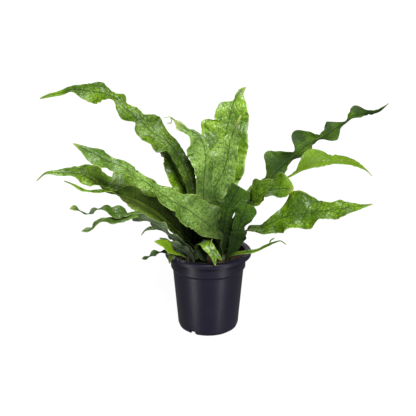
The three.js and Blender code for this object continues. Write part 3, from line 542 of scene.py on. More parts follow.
def frond(name, age, wave, root, above, forks):
    """One frond from its root in the peat to its tip, with its forks, for the node of that name."""
    global frond_count
    frond_count += 1
    pale_from = PALE_FROM.get(name, PALE_TIP_FROM)
    shade = SHADE_OF.get(name, SHADE_OF_AGE[age])
    x, y, half = root
    stations = [[x, y, STALK_FOOT, half, half, 0, 0], [x, y, STALK_BEND, half, half, 0, 0], *above]
    main = Blade(stations, wave, False)
    leaf = blade_mesh(name + "_leaf", main, frond_count * PATTERN_STEP, PUCKER[age], pale_from, shade)
    piece = new_piece(name + "_leaf", leaf)
    for number, (share, side, rest) in enumerate(forks):
        start = main.surface(np.array([share]), np.array([0.0]))[0][0, 0]
        leave = main.surface(np.array([share + FORK_LEAVES]), np.array([side]))[0][0, 0]
        shape = rest[0][3:]
        fork = Blade([[*start, *shape], [*leave, *shape], *rest], wave, True)
        seed = frond_count * FORK_PATTERN_STEP
        mesh = blade_mesh(f"{name}_fork_{number}", fork, seed, PUCKER[age], pale_from, shade)
        branch = new_piece(f"{name}_fork_{number}", mesh)
        cut_or_join(piece, branch, "UNION")
    keep(piece, FROND_FINISH[FINISH_OF.get(name, age)], "frond_" + age, name)


# Each frond: its node and its age; the heading it leans towards, the waves of its margin, their lift and
# phase; the x and y of its root and the stalk's half width there; then its stations up to the tip. Each
# station has the midrib's x, y and z, the blade's width left and right of it, its roll and the fold of its
# halves, in mm and degrees. A fork leaves at a share of the length and width, with stations of its own.
frond("frond_upper_left", "mature", [168, 9, 4, 0], [-12, -2, 2], [
  [-14, -1, 176, 10, 10, -30, 14], [-25, 4, 233, 11, 11, -45, 12], [-39, 14, 273, 12, 12, -55, 10],
  [-56, 19, 300, 12, 12, -60, 8], [-68, 22, 311, 13, 10, -60, 8], [-82, 25, 319, 22, 18, -60, 8],
  [-95, 29, 328, 26, 21, -60, 8], [-104, 31, 337, 20, 18, -55, 10], [-110, 33, 343, 12, 9, -50, 12],
  [-120, 36, 351, 14, 18, -55, 12], [-128, 38, 357, 9, 19, -60, 10], [-136, 40, 364, 8, 14, -50, 10],
  [-142, 42, 371, 13, 8, -50, 10], [-151, 44, 378, 7, 7, -45, 14], [-160, 46, 381, 10, 13, -50, 10],
  [-170, 48, 383, 16, 20, -60, 8], [-188, 51, 385, 12, 18, -60, 8], [-204, 53, 387, 10, 12, -55, 8],
  [-217, 55, 387, 7, 6, -50, 10], [-236, 58, 381, 4, 5, -50, 12], [-260, 60, 375, 3, 4, -50, 8],
  [-271, 61, 371, 1, 1, -50, 0]], [])
frond("frond_short_behind_left", "old", [150, 5, 4, 0], [-18, 24, 2], [
  [-22, 28, 166, 12, 12, -20, 16], [-38, 36, 224, 16, 16, -40, 14], [-54, 42, 257, 16, 17, -50, 12],
  [-66, 48, 280, 9, 10, -50, 12], [-78, 52, 283, 1, 1, -40, 0]], [])
frond("frond_forked_tip", "young", [150, 5, 3, 0], [-1, -8, 2], [
  [-5, -8, 160, 12, 12, -20, 14], [-8, -8, 195, 12, 12, -25, 14], [-8, -7, 222, 14, 13, -30, 12],
  [-7, -6, 254, 15, 15, -35, 10], [-4, -4, 280, 12, 24, -45, 10], [-6, -2, 303, 8, 29, -50, 10],
  [-12, 0, 320, 5, 22, -50, 12], [-22, 3, 329, 4, 14, -45, 12], [-34, 6, 333, 3, 7, -40, 12],
  [-42, 8, 340, 4, 11, -40, 10], [-53, 10, 347, 2, 2, -30, 0], [-61, 13, 352, 1, 1, -20, 0],
  [-69, 15, 350, 1, 1, -20, 0]], [
  [0.93, 0.5, [
    [-58, 11, 343, 1, 1, -30, 0], [-65, 12, 342, 1, 1, -20, 0]]],
])
frond("frond_tall_behind", "mature", [85, 6, 3, 0], [8, 16, 2], [
  [8, 17, 172, 18, 16, 0, 12], [12, 21, 215, 33, 22, 0, 8], [15, 24, 246, 36, 30, 0, 7],
  [22, 30, 290, 42, 34, 0, 8], [27, 35, 317, 37, 40, 0, 6], [30, 38, 329, 36, 38, 0, 6],
  [32, 40, 335, 35, 23, 0, 6], [34, 42, 344, 32, 24, 0, 6], [36, 44, 354, 29, 24, 0, 6],
  [38, 46, 361, 26, 20, 0, 6], [41, 48, 368, 23, 4, 0, 6], [46, 50, 378, 17, 3, 0, 6],
  [51, 52, 384, 8, 4, 0, 0], [60, 54, 391, 1, 1, 0, 0]], [])
frond("frond_centre", "mature", [75, 7, 3, 0], [-8, 8, 2], [
  [-5, 9, 170, 12, 12, 0, 12], [0, 9, 200, 18, 16, 0, 12], [6, 10, 230, 26, 20, 0, 12],
  [17, 12, 248, 26, 28, 5, 12],
  [26, 14, 268, 20, 34, 10, 12], [32, 16, 293, 15, 28, 10, 12], [35, 17, 312, 15, 14, 5, 12],
  [39, 18, 325, 11, 5, 0, 12], [43, 17, 334, 3, 3, 0, 20], [47, 15, 343, 2, 2, 0, 20],
  [51, 14, 354, 1, 1, 0, 0]], [])
frond("frond_broad_front_left", "mature", [190, 8, 5, 0], [20, -38, 2], [
  [20, -41, 150, 9, 8, -10, 14], [16, -47, 172, 16, 12, -15, 14], [7, -53, 188, 29, 20, -38, 12],
  [-9, -58, 205, 32, 25, -52, 8], [-28, -62, 221, 27, 26, -55, 8], [-46, -67, 234, 20, 19, -55, 8],
  [-64, -72, 247, 16, 14, -50, 10], [-84, -79, 266, 9, 14, -40, 16], [-101, -84, 280, 7, 15, -40, 18],
  [-117, -86, 293, 10, 14, -45, 14], [-128, -87, 300, 8, 12, -50, 10], [-143, -88, 306, 8, 12, -55, 8],
  [-157, -90, 314, 12, 17, -60, 8], [-170, -91, 321, 8, 14, -60, 8], [-183, -92, 328, 5, 7, -60, 8],
  [-198, -94, 337, 1, 1, -50, 0]], [])
frond("frond_long_left", "old", [185, 7, 7, 0], [-14, -18, 2], [
  [-38, -22, 166, 12, 12, 20, 14], [-62, -26, 194, 16, 20, 20, 40], [-84, -30, 214, 30, 22, 5, 60],
  [-101, -33, 226, 36, 20, 5, 65], [-116, -35, 234, 40, 18, 5, 62], [-132, -37, 239, 44, 16, 0, 60],
  [-148, -39, 242, 44, 15, 3, 58], [-159, -41, 246, 36, 15, -5, 50], [-168, -42, 256, 26, 9, -25, 30],
  [-180, -44, 266, 22, 12, -42, 14], [-196, -46, 276, 16, 12, -45, 10],
  [-212, -49, 279, 10, 8, -45, 10], [-230, -52, 280, 4, 5, -40, 10],
  [-247, -54, 280, 3, 3, -30, 0], [-262, -56, 268, 1, 1, -30, 0]], [
  [0.58, 0.8, [
    [-172, -48, 249, 3, 3, -30, 0], [-192, -52, 252, 3, 3, -30, 0], [-208, -54, 262, 2, 2, -30, 0],
    [-220, -56, 268, 1, 1, -30, 0]]],
])
frond("frond_pale_below_left", "young", [170, 4, 3, 0], [-26, 4, 2], [
  [-46, 8, 154, 6, 6, -30, 14], [-78, 8, 185, 10, 10, -40, 10], [-100, 6, 202, 10, 12, -45, 10],
  [-120, 4, 216, 9, 14, -45, 10], [-134, 3, 222, 6, 8, -45, 10], [-143, 2, 226, 1, 1, -40, 0]], [])
frond("frond_wavy_low_left", "old", [200, 9, 3, 0], [-18, -34, 2], [
  [-32, -43, 150, 9, 9, 20, 14], [-52, -49, 170, 11, 11, 30, 12], [-64, -53, 182, 6, 6, 35, 10],
  [-76, -57, 194, 13, 13, 35, 10], [-87, -62, 204, 9, 9, 40, 10], [-96, -66, 210, 6, 6, 45, 8],
  [-109, -71, 214, 15, 15, 50, 8], [-118, -74, 217, 9, 10, 30, 10],
  [-126, -77, 223, 9, 9, -30, 10], [-135, -80, 225, 11, 10, -45, 8], [-146, -83, 227, 9, 9, -45, 8],
  [-154, -86, 234, 6, 7, -45, 8], [-163, -88, 233, 2, 2, 0, 10], [-171, -90, 232, 6, 6, 50, 8],
  [-178, -93, 228, 4, 4, 40, 8], [-184, -95, 228, 4, 3, 0, 8], [-192, -98, 234, 1, 1, -30, 8],
  [-200, -101, 239, 5, 4, -50, 8], [-206, -103, 239, 1, 1, -50, 0]], [
  [0.55, 0.7, [
    [-135, -80, 214, 6, 6, -40, 0], [-146, -84, 213, 6, 6, -45, 8], [-154, -88, 216, 4, 4, -40, 8],
    [-163, -91, 216, 4, 4, -40, 8], [-170, -94, 212, 4, 4, -30, 8], [-174, -96, 206, 2, 2, -30, 8],
    [-182, -99, 204, 4, 4, -50, 8], [-190, -102, 203, 1, 1, -40, 0]]],
])
frond("frond_beaded_left", "old", [215, 2, 1, 0], [-38, -28, 2], [
  [-42, -34, 136, 2, 2, -30, 0], [-50, -46, 147, 2, 2, -40, 0], [-60, -61, 154, 2, 2, -50, 0],
  [-68, -70, 158, 3, 3, -60, 0], [-74, -73, 158, 1, 1, -60, 0], [-84, -80, 159, 5, 5, -60, 0],
  [-90, -85, 156, 1, 1, -60, 0], [-97, -90, 155, 3, 3, -60, 0], [-101, -93, 155, 1, 1, -60, 0]], [])
frond("frond_grey_low_left", "old", [205, 5, 2, 0], [-22, -46, 2], [
  [-26, -49, 138, 5, 5, 20, 10], [-38, -56, 152, 10, 10, 40, 8], [-50, -62, 162, 11, 11, 45, 8],
  [-61, -66, 170, 9, 8, 45, 8], [-69, -69, 177, 6, 5, 40, 8], [-75, -71, 181, 1, 1, 30, 0]], [])
frond("frond_young_left", "young", [215, 3, 2, 0], [-30, -38, 2], [
  [-34, -45, 136, 2, 2, -10, 0], [-44, -62, 150, 3, 3, -20, 0], [-53, -74, 159, 5, 5, -40, 0],
  [-60, -81, 168, 9, 9, -50, 0], [-67, -85, 176, 9, 8, -50, 0], [-82, -89, 182, 1, 1, -50, 0]], [])
frond("frond_small_dark_left", "old", [175, 4, 2, 0], [-32, -20, 2], [
  [-50, -24, 152, 5, 5, 20, 8], [-68, -28, 174, 7, 7, 30, 8], [-86, -38, 184, 6, 6, 10, 8],
  [-98, -44, 184, 3, 3, -20, 0], [-105, -46, 176, 1, 1, -20, 0]], [])
frond("frond_young_crested", "young", [300, 3, 2, 0], [-14, -38, 2], [
  [-16, -41, 138, 2, 2, 0, 0], [-18, -43, 150, 3, 3, 0, 0], [-17, -49, 161, 3, 3, 10, 0],
  [-11, -56, 167, 5, 6, 20, 0], [-4, -62, 167, 8, 9, 25, 0], [3, -67, 161, 8, 9, 30, 0],
  [8, -72, 151, 5, 5, 30, 0], [11, -76, 137, 1, 1, 30, 0]], [
  [0.66, 0.6, [
    [3, -65, 171, 4, 4, 60, 0], [6, -68, 178, 1, 1, 60, 0]]],
  [0.78, 0.5, [
    [13, -72, 154, 4, 4, 30, 0], [21, -75, 145, 1, 1, 30, 0]]],
])
frond("frond_seedling_left", "young", [235, 3, 1, 0], [-46, -20, 2], [
  [-50, -27, 134, 2, 2, -20, 0], [-54, -34, 141, 3, 3, -30, 0], [-57, -41, 143, 5, 5, -50, 0],
  [-60, -46, 137, 4, 4, -60, 0], [-61, -48, 129, 1, 1, -60, 0]], [])
frond("frond_young_right", "young", [340, 5, 2, 0], [30, -38, 2], [
  [33, -42, 137, 3, 3, 20, 8], [43, -49, 146, 3, 3, 30, 8], [58, -50, 149, 4, 3, 40, 8],
  [75, -52, 152, 3, 3, 40, 8], [92, -54, 161, 2, 3, 40, 8], [106, -57, 169, 2, 2, 30, 8],
  [112, -58, 171, 1, 1, 30, 0], [121, -60, 166, 1, 1, 30, 0]], [
  [0.76, 0.5, [
    [97, -55, 169, 1, 2, 30, 0], [103, -56, 175, 1, 1, 30, 0]]],
])
frond("frond_broad_right", "mature", [345, 6, 7, 0], [29, -13, 2], [
  [38, -15, 148, 6, 6, -50, 10], [55, -20, 170, 9, 8, -40, 10], [66, -30, 182, 9, 6, 0, 12],
  [83, -40, 187, 17, 6, 40, 10], [101, -46, 198, 19, 8, 50, 8], [115, -50, 207, 28, 16, 52, 8],
  [128, -54, 211, 23, 36, 55, 8], [141, -57, 214, 22, 35, 55, 6], [156, -61, 217, 24, 32, 55, 6],
  [174, -66, 222, 14, 19, 50, 6], [189, -69, 226, 15, 10, 48, 6], [204, -72, 229, 15, 15, 45, 6],
  [218, -75, 232, 12, 9, 45, 6], [230, -78, 235, 6, 3, 40, 0], [248, -82, 239, 1, 1, 30, 0]], [])
frond("frond_pale_right", "young", [0, 4, 3, 0], [44, 4, 2], [
  [51, 5, 160, 3, 3, 0, 0], [66, 6, 192, 3, 3, 10, 0], [84, 7, 222, 3, 3, 20, 0],
  [100, 8, 240, 3, 3, 20, 0], [118, 9, 250, 3, 3, 25, 0], [135, 10, 259, 3, 3, 30, 0],
  [146, 10, 267, 5, 7, 40, 6], [154, 10, 272, 7, 14, 40, 6], [164, 10, 277, 9, 22, 40, 6],
  [178, 10, 280, 10, 21, 40, 6], [195, 10, 281, 8, 12, 40, 6], [212, 10, 281, 8, 13, 40, 6],
  [224, 10, 280, 8, 8, 35, 6], [241, 10, 273, 6, 5, 20, 6], [252, 10, 266, 2, 2, 20, 0],
  [262, 10, 256, 1, 1, 10, 0]], [])
frond("frond_long_right", "old", [15, 7.5, 8, 0.83], [34, 14, 2], [
  [52, 16, 173, 10, 8, -20, 14], [69, 20, 205, 14, 9, -40, 10], [87, 24, 232, 12, 12, -55, 10],
  [100, 28, 248, 12, 16, -75, 8], [116, 33, 264, 32, 12, -80, 8], [130, 38, 275, 19, 10, -80, 8],
  [144, 42, 285, 8, 14, -80, 8], [154, 46, 294, 27, 13, -80, 8], [166, 50, 301, 22, 10, -80, 8],
  [181, 56, 307, 8, 7, -80, 8], [193, 60, 313, 9, 15, -75, 8], [203, 63, 319, 14, 18, -75, 8],
  [213, 66, 325, 7, 12, -75, 8], [224, 70, 330, 4, 7, -70, 8], [233, 73, 336, 11, 3, -70, 8],
  [246, 76, 342, 13, 6, -70, 8], [259, 80, 344, 5, 7, -70, 8], [278, 86, 344, 5, 7, -60, 8],
  [288, 88, 350, 3, 3, -50, 0], [297, 90, 357, 1, 1, -30, 0]], [])
frond("frond_rounded_right", "mature", [330, 4, 6, 0], [31, -4, 2], [
  [39, -9, 156, 7, 7, 10, 12], [46, -12, 180, 11, 11, 25, 10], [54, -18, 202, 11, 11, 35, 8],
  [67, -28, 219, 11, 13, 35, 8], [78, -34, 232, 11, 22, 40, 8], [84, -37, 241, 12, 32, 45, 8],
  [90, -39, 246, 14, 24, 45, 8], [98, -43, 249, 16, 25, 45, 8], [108, -47, 252, 16, 27, 45, 8],
  [118, -52, 254, 15, 20, 45, 8], [125, -56, 255, 11, 11, 40, 0], [130, -59, 255, 3, 3, 40, 0]], [])
frond("frond_inner_right", "mature", [85, 4, 3, 0], [20, -8, 2], [
  [21, -9, 150, 11, 10, 0, 12], [25, -11, 178, 13, 15, 0, 10], [29, -12, 204, 13, 16, 0, 10],
  [37, -12, 222, 18, 13, 0, 8], [44, -11, 236, 24, 12, 0, 8], [49, -10, 245, 15, 14, 0, 8]], [])
frond("frond_short_front", "old", [195, 2, 1, 0], [-2, -42, 2], [
  [-3, -43, 131, 2, 2, -20, 8], [-6, -46, 139, 8, 8, -40, 8], [-11, -50, 144, 10, 10, -45, 8],
  [-16, -52, 144, 7, 7, -45, 8], [-20, -55, 139, 1, 1, -40, 0]], [])
frond("frond_right_front", "mature", [85, 4, 3, 0], [30, -25, 2], [
  [34, -28, 137, 4, 4, 0, 10], [41, -32, 152, 9, 9, 0, 10], [46, -36, 172, 14, 11, 0, 10],
  [49, -39, 192, 10, 10, 0, 10], [54, -42, 207, 16, 13, 0, 8], [58, -43, 219, 19, 16, 0, 8],
  [60, -43, 227, 11, 12, 0, 8]], [])
frond("frond_inner_left", "old", [165, 3, 3, 0], [-26, -4, 2], [
  [-30, -2, 150, 8, 8, -30, 12], [-42, 1, 181, 12, 12, -45, 10], [-56, 5, 205, 11, 11, -45, 10],
  [-71, 9, 220, 7, 7, -45, 10], [-84, 12, 228, 1, 1, -45, 0]], [])
frond("frond_back_tall", "mature", [95, 6, 5, 0], [0, 36, 2], [
  [2, 46, 180, 10, 10, 0, 14], [6, 80, 236, 20, 20, 0, 12], [12, 130, 270, 24, 24, 0, 10],
  [18, 190, 270, 18, 18, 0, 10], [22, 236, 246, 8, 8, 0, 8], [24, 262, 226, 1, 1, 0, 0]], [])
frond("frond_back_low", "mature", [80, 6, 5, 0], [20, 34, 2], [
  [22, 46, 158, 9, 9, 0, 12], [24, 80, 196, 17, 17, 0, 10], [28, 130, 206, 20, 20, 0, 10],
  [32, 180, 186, 14, 14, 0, 10], [36, 220, 150, 1, 1, 0, 0]], [])
frond("frond_back_left", "mature", [130, 6, 5, 0], [-16, 38, 2], [
  [-22, 50, 180, 8, 8, 0, 14], [-42, 84, 232, 16, 16, -10, 12], [-74, 126, 272, 18, 18, -20, 10],
  [-100, 166, 282, 13, 13, -20, 10], [-122, 200, 272, 1, 1, -20, 0]], [])
frond("frond_back_right", "mature", [45, 6, 4, 0], [36, 30, 2], [
  [44, 40, 158, 7, 7, 0, 12], [66, 66, 190, 13, 13, 10, 12], [92, 92, 210, 15, 15, 15, 10],
  [116, 116, 214, 9, 9, 15, 10], [134, 134, 202, 1, 1, 15, 0]], [])


# Pot


def ring_profile(bm, profile):
    """Chain of vertices in the XZ plane, in mm."""
    verts = [bm.verts.new((r * MM, 0, z * MM)) for r, z in profile]
    for a, b in zip(verts, verts[1:]):
        bm.edges.new((a, b))
    return verts


def turned_mesh(name, profile, steps):
    """Closed solid of a profile that starts and ends on the axis, turned all the way round."""
    bm = bmesh.new()
    verts = ring_profile(bm, profile)
    bmesh.ops.spin(bm, geom=[*verts, *bm.edges[:]], axis=(0, 0, 1), cent=(0, 0, 0), angle=2 * math.pi,
                   steps=steps, use_merge=True)
    bmesh.ops.remove_doubles(bm, verts=bm.verts[:], dist=1e-6)
    bmesh.ops.recalc_face_normals(bm, faces=bm.faces[:])
    for face in bm.faces:
        face.smooth = True
    mesh = bpy.data.meshes.new(name)
    bm.to_mesh(mesh)
    bm.free()
    return mesh


def drainage_cutter():
    """The three notches in the foot and the drain holes in the floor, as one object."""
    bm = bmesh.new()
    for k in range(NOTCHES):
        turn = Matrix.Rotation(math.radians(NOTCH_HEADING + 360 * k / NOTCHES), 4, "Z")
        middle = WALL_FOOT_RADIUS + NOTCH_PAST_WALL - NOTCH_DEPTH / 2
        shift = Matrix.Translation((middle * MM, 0, (NOTCH_HEIGHT - NOTCH_BELOW_FOOT) / 2 * MM))
        height = NOTCH_HEIGHT + NOTCH_BELOW_FOOT
        size = Matrix.Diagonal((NOTCH_DEPTH * MM, NOTCH_WIDTH * MM, height * MM, 1))
        cube = bmesh.ops.create_cube(bm, size=1, matrix=turn @ shift @ size)
        radial = turn @ Vector((1, 0, 0))
        corners = [e for v in cube["verts"] for e in v.link_edges
                   if abs((e.verts[0].co - e.verts[1].co).normalized().dot(radial)) > 0.9]
        bmesh.ops.bevel(bm, geom=list(dict.fromkeys(corners)), offset=NOTCH_CORNER * MM, segments=4,
                        profile=0.5, affect="EDGES", material=-1)
    for k in range(DRAIN_HOLES):
        turn = Matrix.Rotation(2 * math.pi * k / DRAIN_HOLES, 4, "Z")
        shift = Matrix.Translation(((CHANNEL_INNER + CHANNEL_OUTER) / 2 * MM, 0, 0))
        bmesh.ops.create_cone(bm, cap_ends=True, segments=32, radius1=DRAIN_RADIUS * MM,
                              radius2=DRAIN_RADIUS * MM, depth=DRAIN_CUT * MM, matrix=turn @ shift)
    mesh = bpy.data.meshes.new("drainage")
    bm.to_mesh(mesh)
    bm.free()
    return new_piece("drainage", mesh)


def make_pot():
    """Moulded pot: one turned wall, cut by the notches and holes, with softened edges."""
    inner_band = BAND_RADIUS - WALL
    profile = [
        (0, 0), (PAD_RADIUS, 0), (CHANNEL_INNER, CHANNEL_RISE), (CHANNEL_OUTER, CHANNEL_RISE),
        (CHANNEL_OUTER + 3, 0), (FOOT_RING_RADIUS, 0), (FLOOR_RADIUS + WALL, 3.2),
        (WALL_FOOT_RADIUS, FOOT_HEIGHT), (WALL_TOP_RADIUS, STEP_BOTTOM), (BAND_FOOT_RADIUS, BAND_BOTTOM),
        (BAND_RADIUS, RIM_TOP - WALL), (RIM_RADIUS - WALL, RIM_TOP - WALL),
        (RIM_RADIUS - WALL, RIM_TOP - RIM_DEPTH), (RIM_RADIUS, RIM_TOP - RIM_DEPTH),
        (RIM_RADIUS, RIM_TOP - 1.2), (RIM_RADIUS - 1.2, RIM_TOP), (inner_band + 1, RIM_TOP),
        (inner_band, RIM_TOP - 1), (BAND_FOOT_RADIUS - WALL, BAND_BOTTOM + 0.5),
        (WALL_TOP_RADIUS - WALL, STEP_BOTTOM + 0.5), (WALL_FOOT_RADIUS - WALL, FOOT_HEIGHT),
        (FLOOR_RADIUS, CHANNEL_RISE + FLOOR), (CHANNEL_INNER - 1, CHANNEL_RISE + FLOOR),
        (PAD_RADIUS - 1, FLOOR), (0, FLOOR),
    ]
    pot = new_piece("nursery_pot", turned_mesh("nursery_pot", profile, POT_STEPS))
    cut_or_join(pot, drainage_cutter(), "DIFFERENCE")
    pot.data.polygons.foreach_set("use_smooth", [True] * len(pot.data.polygons))
    bevel = pot.modifiers.new("moulded_edges", "BEVEL")
    bevel.width = 0.45 * MM
    bevel.segments = 2
    bevel.limit_method = "ANGLE"
    bevel.angle_limit = math.radians(25)
    bevel.harden_normals = True
    keep(pot, POT_FINISH, "pot", "pot")


# Peat


def soil_height(x, y):
    """Height of the peat in mm: a slight crown with lumps."""
    r = math.hypot(x, y) / BAND_RADIUS
    lumps = math.sin(x * 0.31 + 1.2) * math.cos(y * 0.27) + 0.6 * math.sin(x * 0.53 - y * 0.41)
    return SOIL_TOP + SOIL_CROWN * (1 - r * r) + 0.8 * lumps * (1 - r**6)


def wall_radius(z):
    """Radius of the peat in mm against the tapered wall."""
    share = (z - FOOT_HEIGHT) / (STEP_BOTTOM - FOOT_HEIGHT)
    return WALL_FOOT_RADIUS + (WALL_TOP_RADIUS - WALL_FOOT_RADIUS) * share - WALL - CLEARANCE


def add_crumb(bm, draw):
    """One lump of peat, half sunk where it lies."""
    radius = BAND_FOOT_RADIUS * 0.95 * math.sqrt(draw.random())
    turn = draw.uniform(0, 2 * math.pi)
    x, y = radius * math.cos(turn), radius * math.sin(turn)
    size = draw.choice((0.7, 0.9, 1.2, 1.7)) * draw.uniform(0.8, 1.3)
    place = Matrix.Translation(Vector((x, y, soil_height(x, y) + 0.2 * size)) * MM)
    spin = Matrix.Rotation(draw.uniform(0, 2 * math.pi), 4, Vector([draw.uniform(-1, 1) for _ in range(3)]))
    shape = Matrix.Diagonal((size * MM, size * draw.uniform(0.6, 1) * MM,
                             size * draw.uniform(0.5, 0.9) * MM, 1))
    bmesh.ops.create_icosphere(bm, subdivisions=1, radius=1, matrix=place @ spin @ shape)


def add_fibre(bm, draw):
    """One bent hair of root or moss stem that lies on the peat."""
    radius = BAND_FOOT_RADIUS * 0.9 * math.sqrt(draw.random())
    turn = draw.uniform(0, 2 * math.pi)
    x, y = radius * math.cos(turn), radius * math.sin(turn)
    heading = draw.uniform(0, 2 * math.pi)
    length = draw.uniform(5, 12)
    flat = Matrix.Translation(Vector((x, y, soil_height(x, y) + 0.9)) * MM) @ Matrix.Rotation(heading, 4, "Z")
    flat = flat @ Matrix.Rotation(math.radians(90 + draw.uniform(-14, 14)), 4, "Y")
    cone = bmesh.ops.create_cone(bm, cap_ends=True, segments=4, radius1=0.28 * MM, radius2=0.12 * MM,
                                 depth=length * MM, matrix=flat)
    bmesh.ops.translate(bm, verts=cone["verts"][:4], vec=(0, 0, draw.uniform(-0.8, 0.8) * MM))


def make_peat():
    """Peat plug with a rough crown, crumbs and fibres."""
    under = CHANNEL_RISE + FLOOR + CLEARANCE
    edge = BAND_FOOT_RADIUS - WALL - CLEARANCE - 0.1
    top = [(edge * k / SOIL_RINGS, SOIL_TOP) for k in range(SOIL_RINGS, -1, -1)]
    profile = [(0, under), (FLOOR_RADIUS - 0.5, under), (wall_radius(FOOT_HEIGHT), FOOT_HEIGHT + CLEARANCE),
               (wall_radius(STEP_BOTTOM), STEP_BOTTOM + 1), (edge - 0.1, BAND_BOTTOM + 2.5), *top]
    mesh = turned_mesh("peat", profile, POT_STEPS)
    bm = bmesh.new()
    bm.from_mesh(mesh)
    for vert in bm.verts:
        x, y, z = vert.co / MM
        if z > SOIL_TOP - 1:
            rough = 0.9 * noise.fractal(Vector((x, y, 0)) * 0.35, 0.7, 2.0, 4) * (math.hypot(x, y) < edge - 1)
            vert.co.z = (soil_height(x, y) + rough) * MM
    draw = random.Random(7)
    for _ in range(CRUMBS):
        add_crumb(bm, draw)
    for _ in range(FIBRES):
        add_fibre(bm, draw)
    bm.to_mesh(mesh)
    bm.free()
    keep(new_piece("peat", mesh), PEAT_FINISH, "peat", "soil")


# Creeping stems

RHIZOMES = [
    ("rhizome_front", [[-41, -33], [-24, -42], [-4, -43], [18, -40], [40, -30]]),
    ("rhizome_middle", [[-34, -14], [-14, -16], [2, -10], [22, -10], [44, -2]]),
    ("rhizome_back", [[-30, 6], [-10, 16], [8, 22], [26, 24], [42, 20]]),
]


def stem_frame(route, t):
    """Point, direction, across and up of a creeping stem, in mm, at t from 0 to 1."""
    stations = [[x, y, soil_height(x, y)] for x, y in route]
    steps = np.array([t, t + 0.002, t - 0.002])
    at, ahead, behind = curve_at(stations, steps)
    along = Vector(ahead - behind).normalized()
    across = Vector((0, 0, 1)).cross(along).normalized()
    return Vector(at), along, across, along.cross(across)


def stem_radius(t):
    """Radius of a creeping stem in mm, with its knots and rounded ends."""
    knots = 0.8 * math.sin(t * 20.9) + 0.5 * math.sin(t * 34.1 + 1)
    ends = min(1, 0.35 + 6 * min(t, 1 - t))
    return (RHIZOME_RADIUS + knots) * ends


def add_scale(bm, layer, route, draw):
    """One papery scale: a pointed blade that lies along the stem, its tip lifted."""
    t = draw.uniform(0.02, 0.98)
    at, along, across, up = stem_frame(route, t)
    turn = draw.uniform(math.radians(-20), math.radians(200))
    outward = across * math.cos(turn) + up * math.sin(turn)
    sideways = along.cross(outward)
    base = at + outward * (stem_radius(t) - 0.3)
    length = draw.uniform(3.0, 5.5)
    lean = (along * draw.choice((1, -1)) + sideways * draw.uniform(-0.5, 0.5)).normalized()
    frame_matrix = Matrix((lean, lean.cross(outward).normalized() * -1, outward)).transposed().to_4x4()
    size = Matrix.Diagonal((length / 2 * MM, 0.8 * MM, 0.35 * MM, 1))
    matrix = Matrix.Translation(base * MM) @ frame_matrix @ size
    scale = bmesh.ops.create_icosphere(bm, subdivisions=1, radius=1, matrix=matrix)["verts"]
    for vert in scale:
        reach = (vert.co / MM - base).dot(lean) / (length / 2)
        vert.co += outward * (0.9 * max(reach, 0) ** 2) * MM
        vert[layer] = 1.0


def make_rhizome(name, route, seed):
    """Creeping stem along its route, covered in scales."""
    bm = bmesh.new()
    bmesh.ops.create_grid(bm, x_segments=RHIZOME_ROWS, y_segments=RHIZOME_SIDES, size=1)
    layer = bm.verts.layers.float.new("scale")
    frames = {}
    for vert in bm.verts:
        t = round((vert.co.x + 1) / 2, 6)
        if t not in frames:
            frames[t] = stem_frame(route, t)
        at, _, across, up = frames[t]
        turn = math.pi * (vert.co.y + 1)
        outward = across * math.cos(turn) + up * math.sin(turn)
        skin = 0.35 * noise.noise(Vector((t * 60, math.cos(turn) * 3, math.sin(turn) * 3 + seed)))
        vert.co = (at + outward * (stem_radius(t) + skin)) * MM
    bmesh.ops.remove_doubles(bm, verts=bm.verts[:], dist=1e-6)
    bmesh.ops.holes_fill(bm, edges=[e for e in bm.edges if e.is_boundary], sides=RHIZOME_SIDES)
    bmesh.ops.recalc_face_normals(bm, faces=bm.faces[:])
    draw = random.Random(seed)
    for _ in range(SCALES):
        add_scale(bm, layer, route, draw)
    for face in bm.faces:
        face.smooth = True
    mesh = bpy.data.meshes.new(name + "_stem")
    bm.to_mesh(mesh)
    bm.free()
    keep(new_piece(name + "_stem", mesh), RHIZOME_FINISH, "rhizome", name)


# Studio


def make_floor():
    """White paper sweep that the pot stands on."""
    material, _, _ = new_material("white_paper_floor", Base_Color=(0.05, 0.05, 0.05, 1), Roughness=0.9,
                                  Emission_Color=(1, 1, 1, 1), Emission_Strength=0.92)
    bm = bmesh.new()
    bmesh.ops.create_grid(bm, x_segments=1, y_segments=1, size=12)
    mesh = bpy.data.meshes.new("floor")
    bm.to_mesh(mesh)
    bm.free()
    mesh.materials.append(material)
    floor = new_piece("floor", mesh)
    # The paper is bright only to the eye, so that the plant's own shade stays deep
    floor.visible_diffuse = False
    floor.visible_glossy = False
    floor.visible_shadow = False


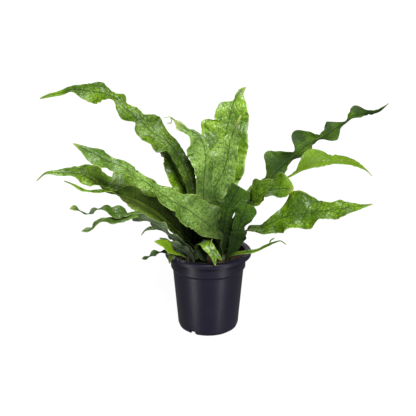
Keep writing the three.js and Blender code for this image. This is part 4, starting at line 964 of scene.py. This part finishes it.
def make_light(name, place, aim, size, watts):
    """Upright soft light that shows as a band on the pot."""
    lamp = bpy.data.lights.new(name, "AREA")
    lamp.shape = "RECTANGLE"
    lamp.size, lamp.size_y = size
    lamp.energy = watts
    light = bpy.data.objects.new(name, lamp)
    bpy.context.scene.collection.objects.link(light)
    light.location = place
    light.rotation_euler = (Vector(aim) - Vector(place)).to_track_quat("-Z", "Y").to_euler()


def make_sun(name, place, strength, angle):
    """Wide light from one side, as soft as its angle in degrees."""
    lamp = bpy.data.lights.new(name, "SUN")
    lamp.energy = strength
    lamp.angle = math.radians(angle)
    light = bpy.data.objects.new(name, lamp)
    bpy.context.scene.collection.objects.link(light)
    light.rotation_euler = Vector(place).to_track_quat("Z", "Y").to_euler()


def make_camera():
    """Camera at the photograph's angle, distance and width of view."""
    data = bpy.data.cameras.new("camera")
    data.lens = CAMERA_LENS
    data.sensor_width = 36
    camera = bpy.data.objects.new("camera", data)
    bpy.context.scene.collection.objects.link(camera)
    pitch = math.radians(CAMERA_PITCH)
    x, y, z = CAMERA_AIM
    camera.location = (x, y - CAMERA_DISTANCE * math.cos(pitch), z + CAMERA_DISTANCE * math.sin(pitch))
    camera.rotation_euler = (math.pi / 2 - pitch, 0, 0)
    bpy.context.scene.camera = camera


def make_world():
    """Soft light from all round, and a white backdrop where the view ends."""
    world = bpy.data.worlds.new("studio_white")
    world.use_nodes = True
    tree = world.node_tree
    seen = add(tree, "ShaderNodeLightPath").outputs["Is Camera Ray"]
    level = add(tree, "ShaderNodeMapRange", {3: AMBIENT, 4: 1.0}, {0: seen}).outputs[0]
    tree.links.new(level, tree.nodes["Background"].inputs["Strength"])
    tree.nodes["Background"].inputs["Color"].default_value = (1, 1, 1, 1)
    bpy.context.scene.world = world
    bpy.context.scene.view_settings.view_transform = "Standard"


make_pot()
make_peat()
for stem, (name, route) in enumerate(RHIZOMES):
    make_rhizome(name, route, stem + 1)
make_floor()
make_sun("studio_key", (0.2, -0.95, 0.85), strength=5.6, angle=20)
make_sun("studio_back", (-0.4, 1.0, 0.8), strength=1.8, angle=40)
make_light("softbox_left", (-1.1, -0.92, -0.35), aim=(0, 0, -0.2), size=(0.22, 1.8), watts=9)
make_light("softbox_right", (0.98, -1.0, -0.35), aim=(0, 0, -0.2), size=(0.16, 1.8), watts=7)
make_camera()
make_world()
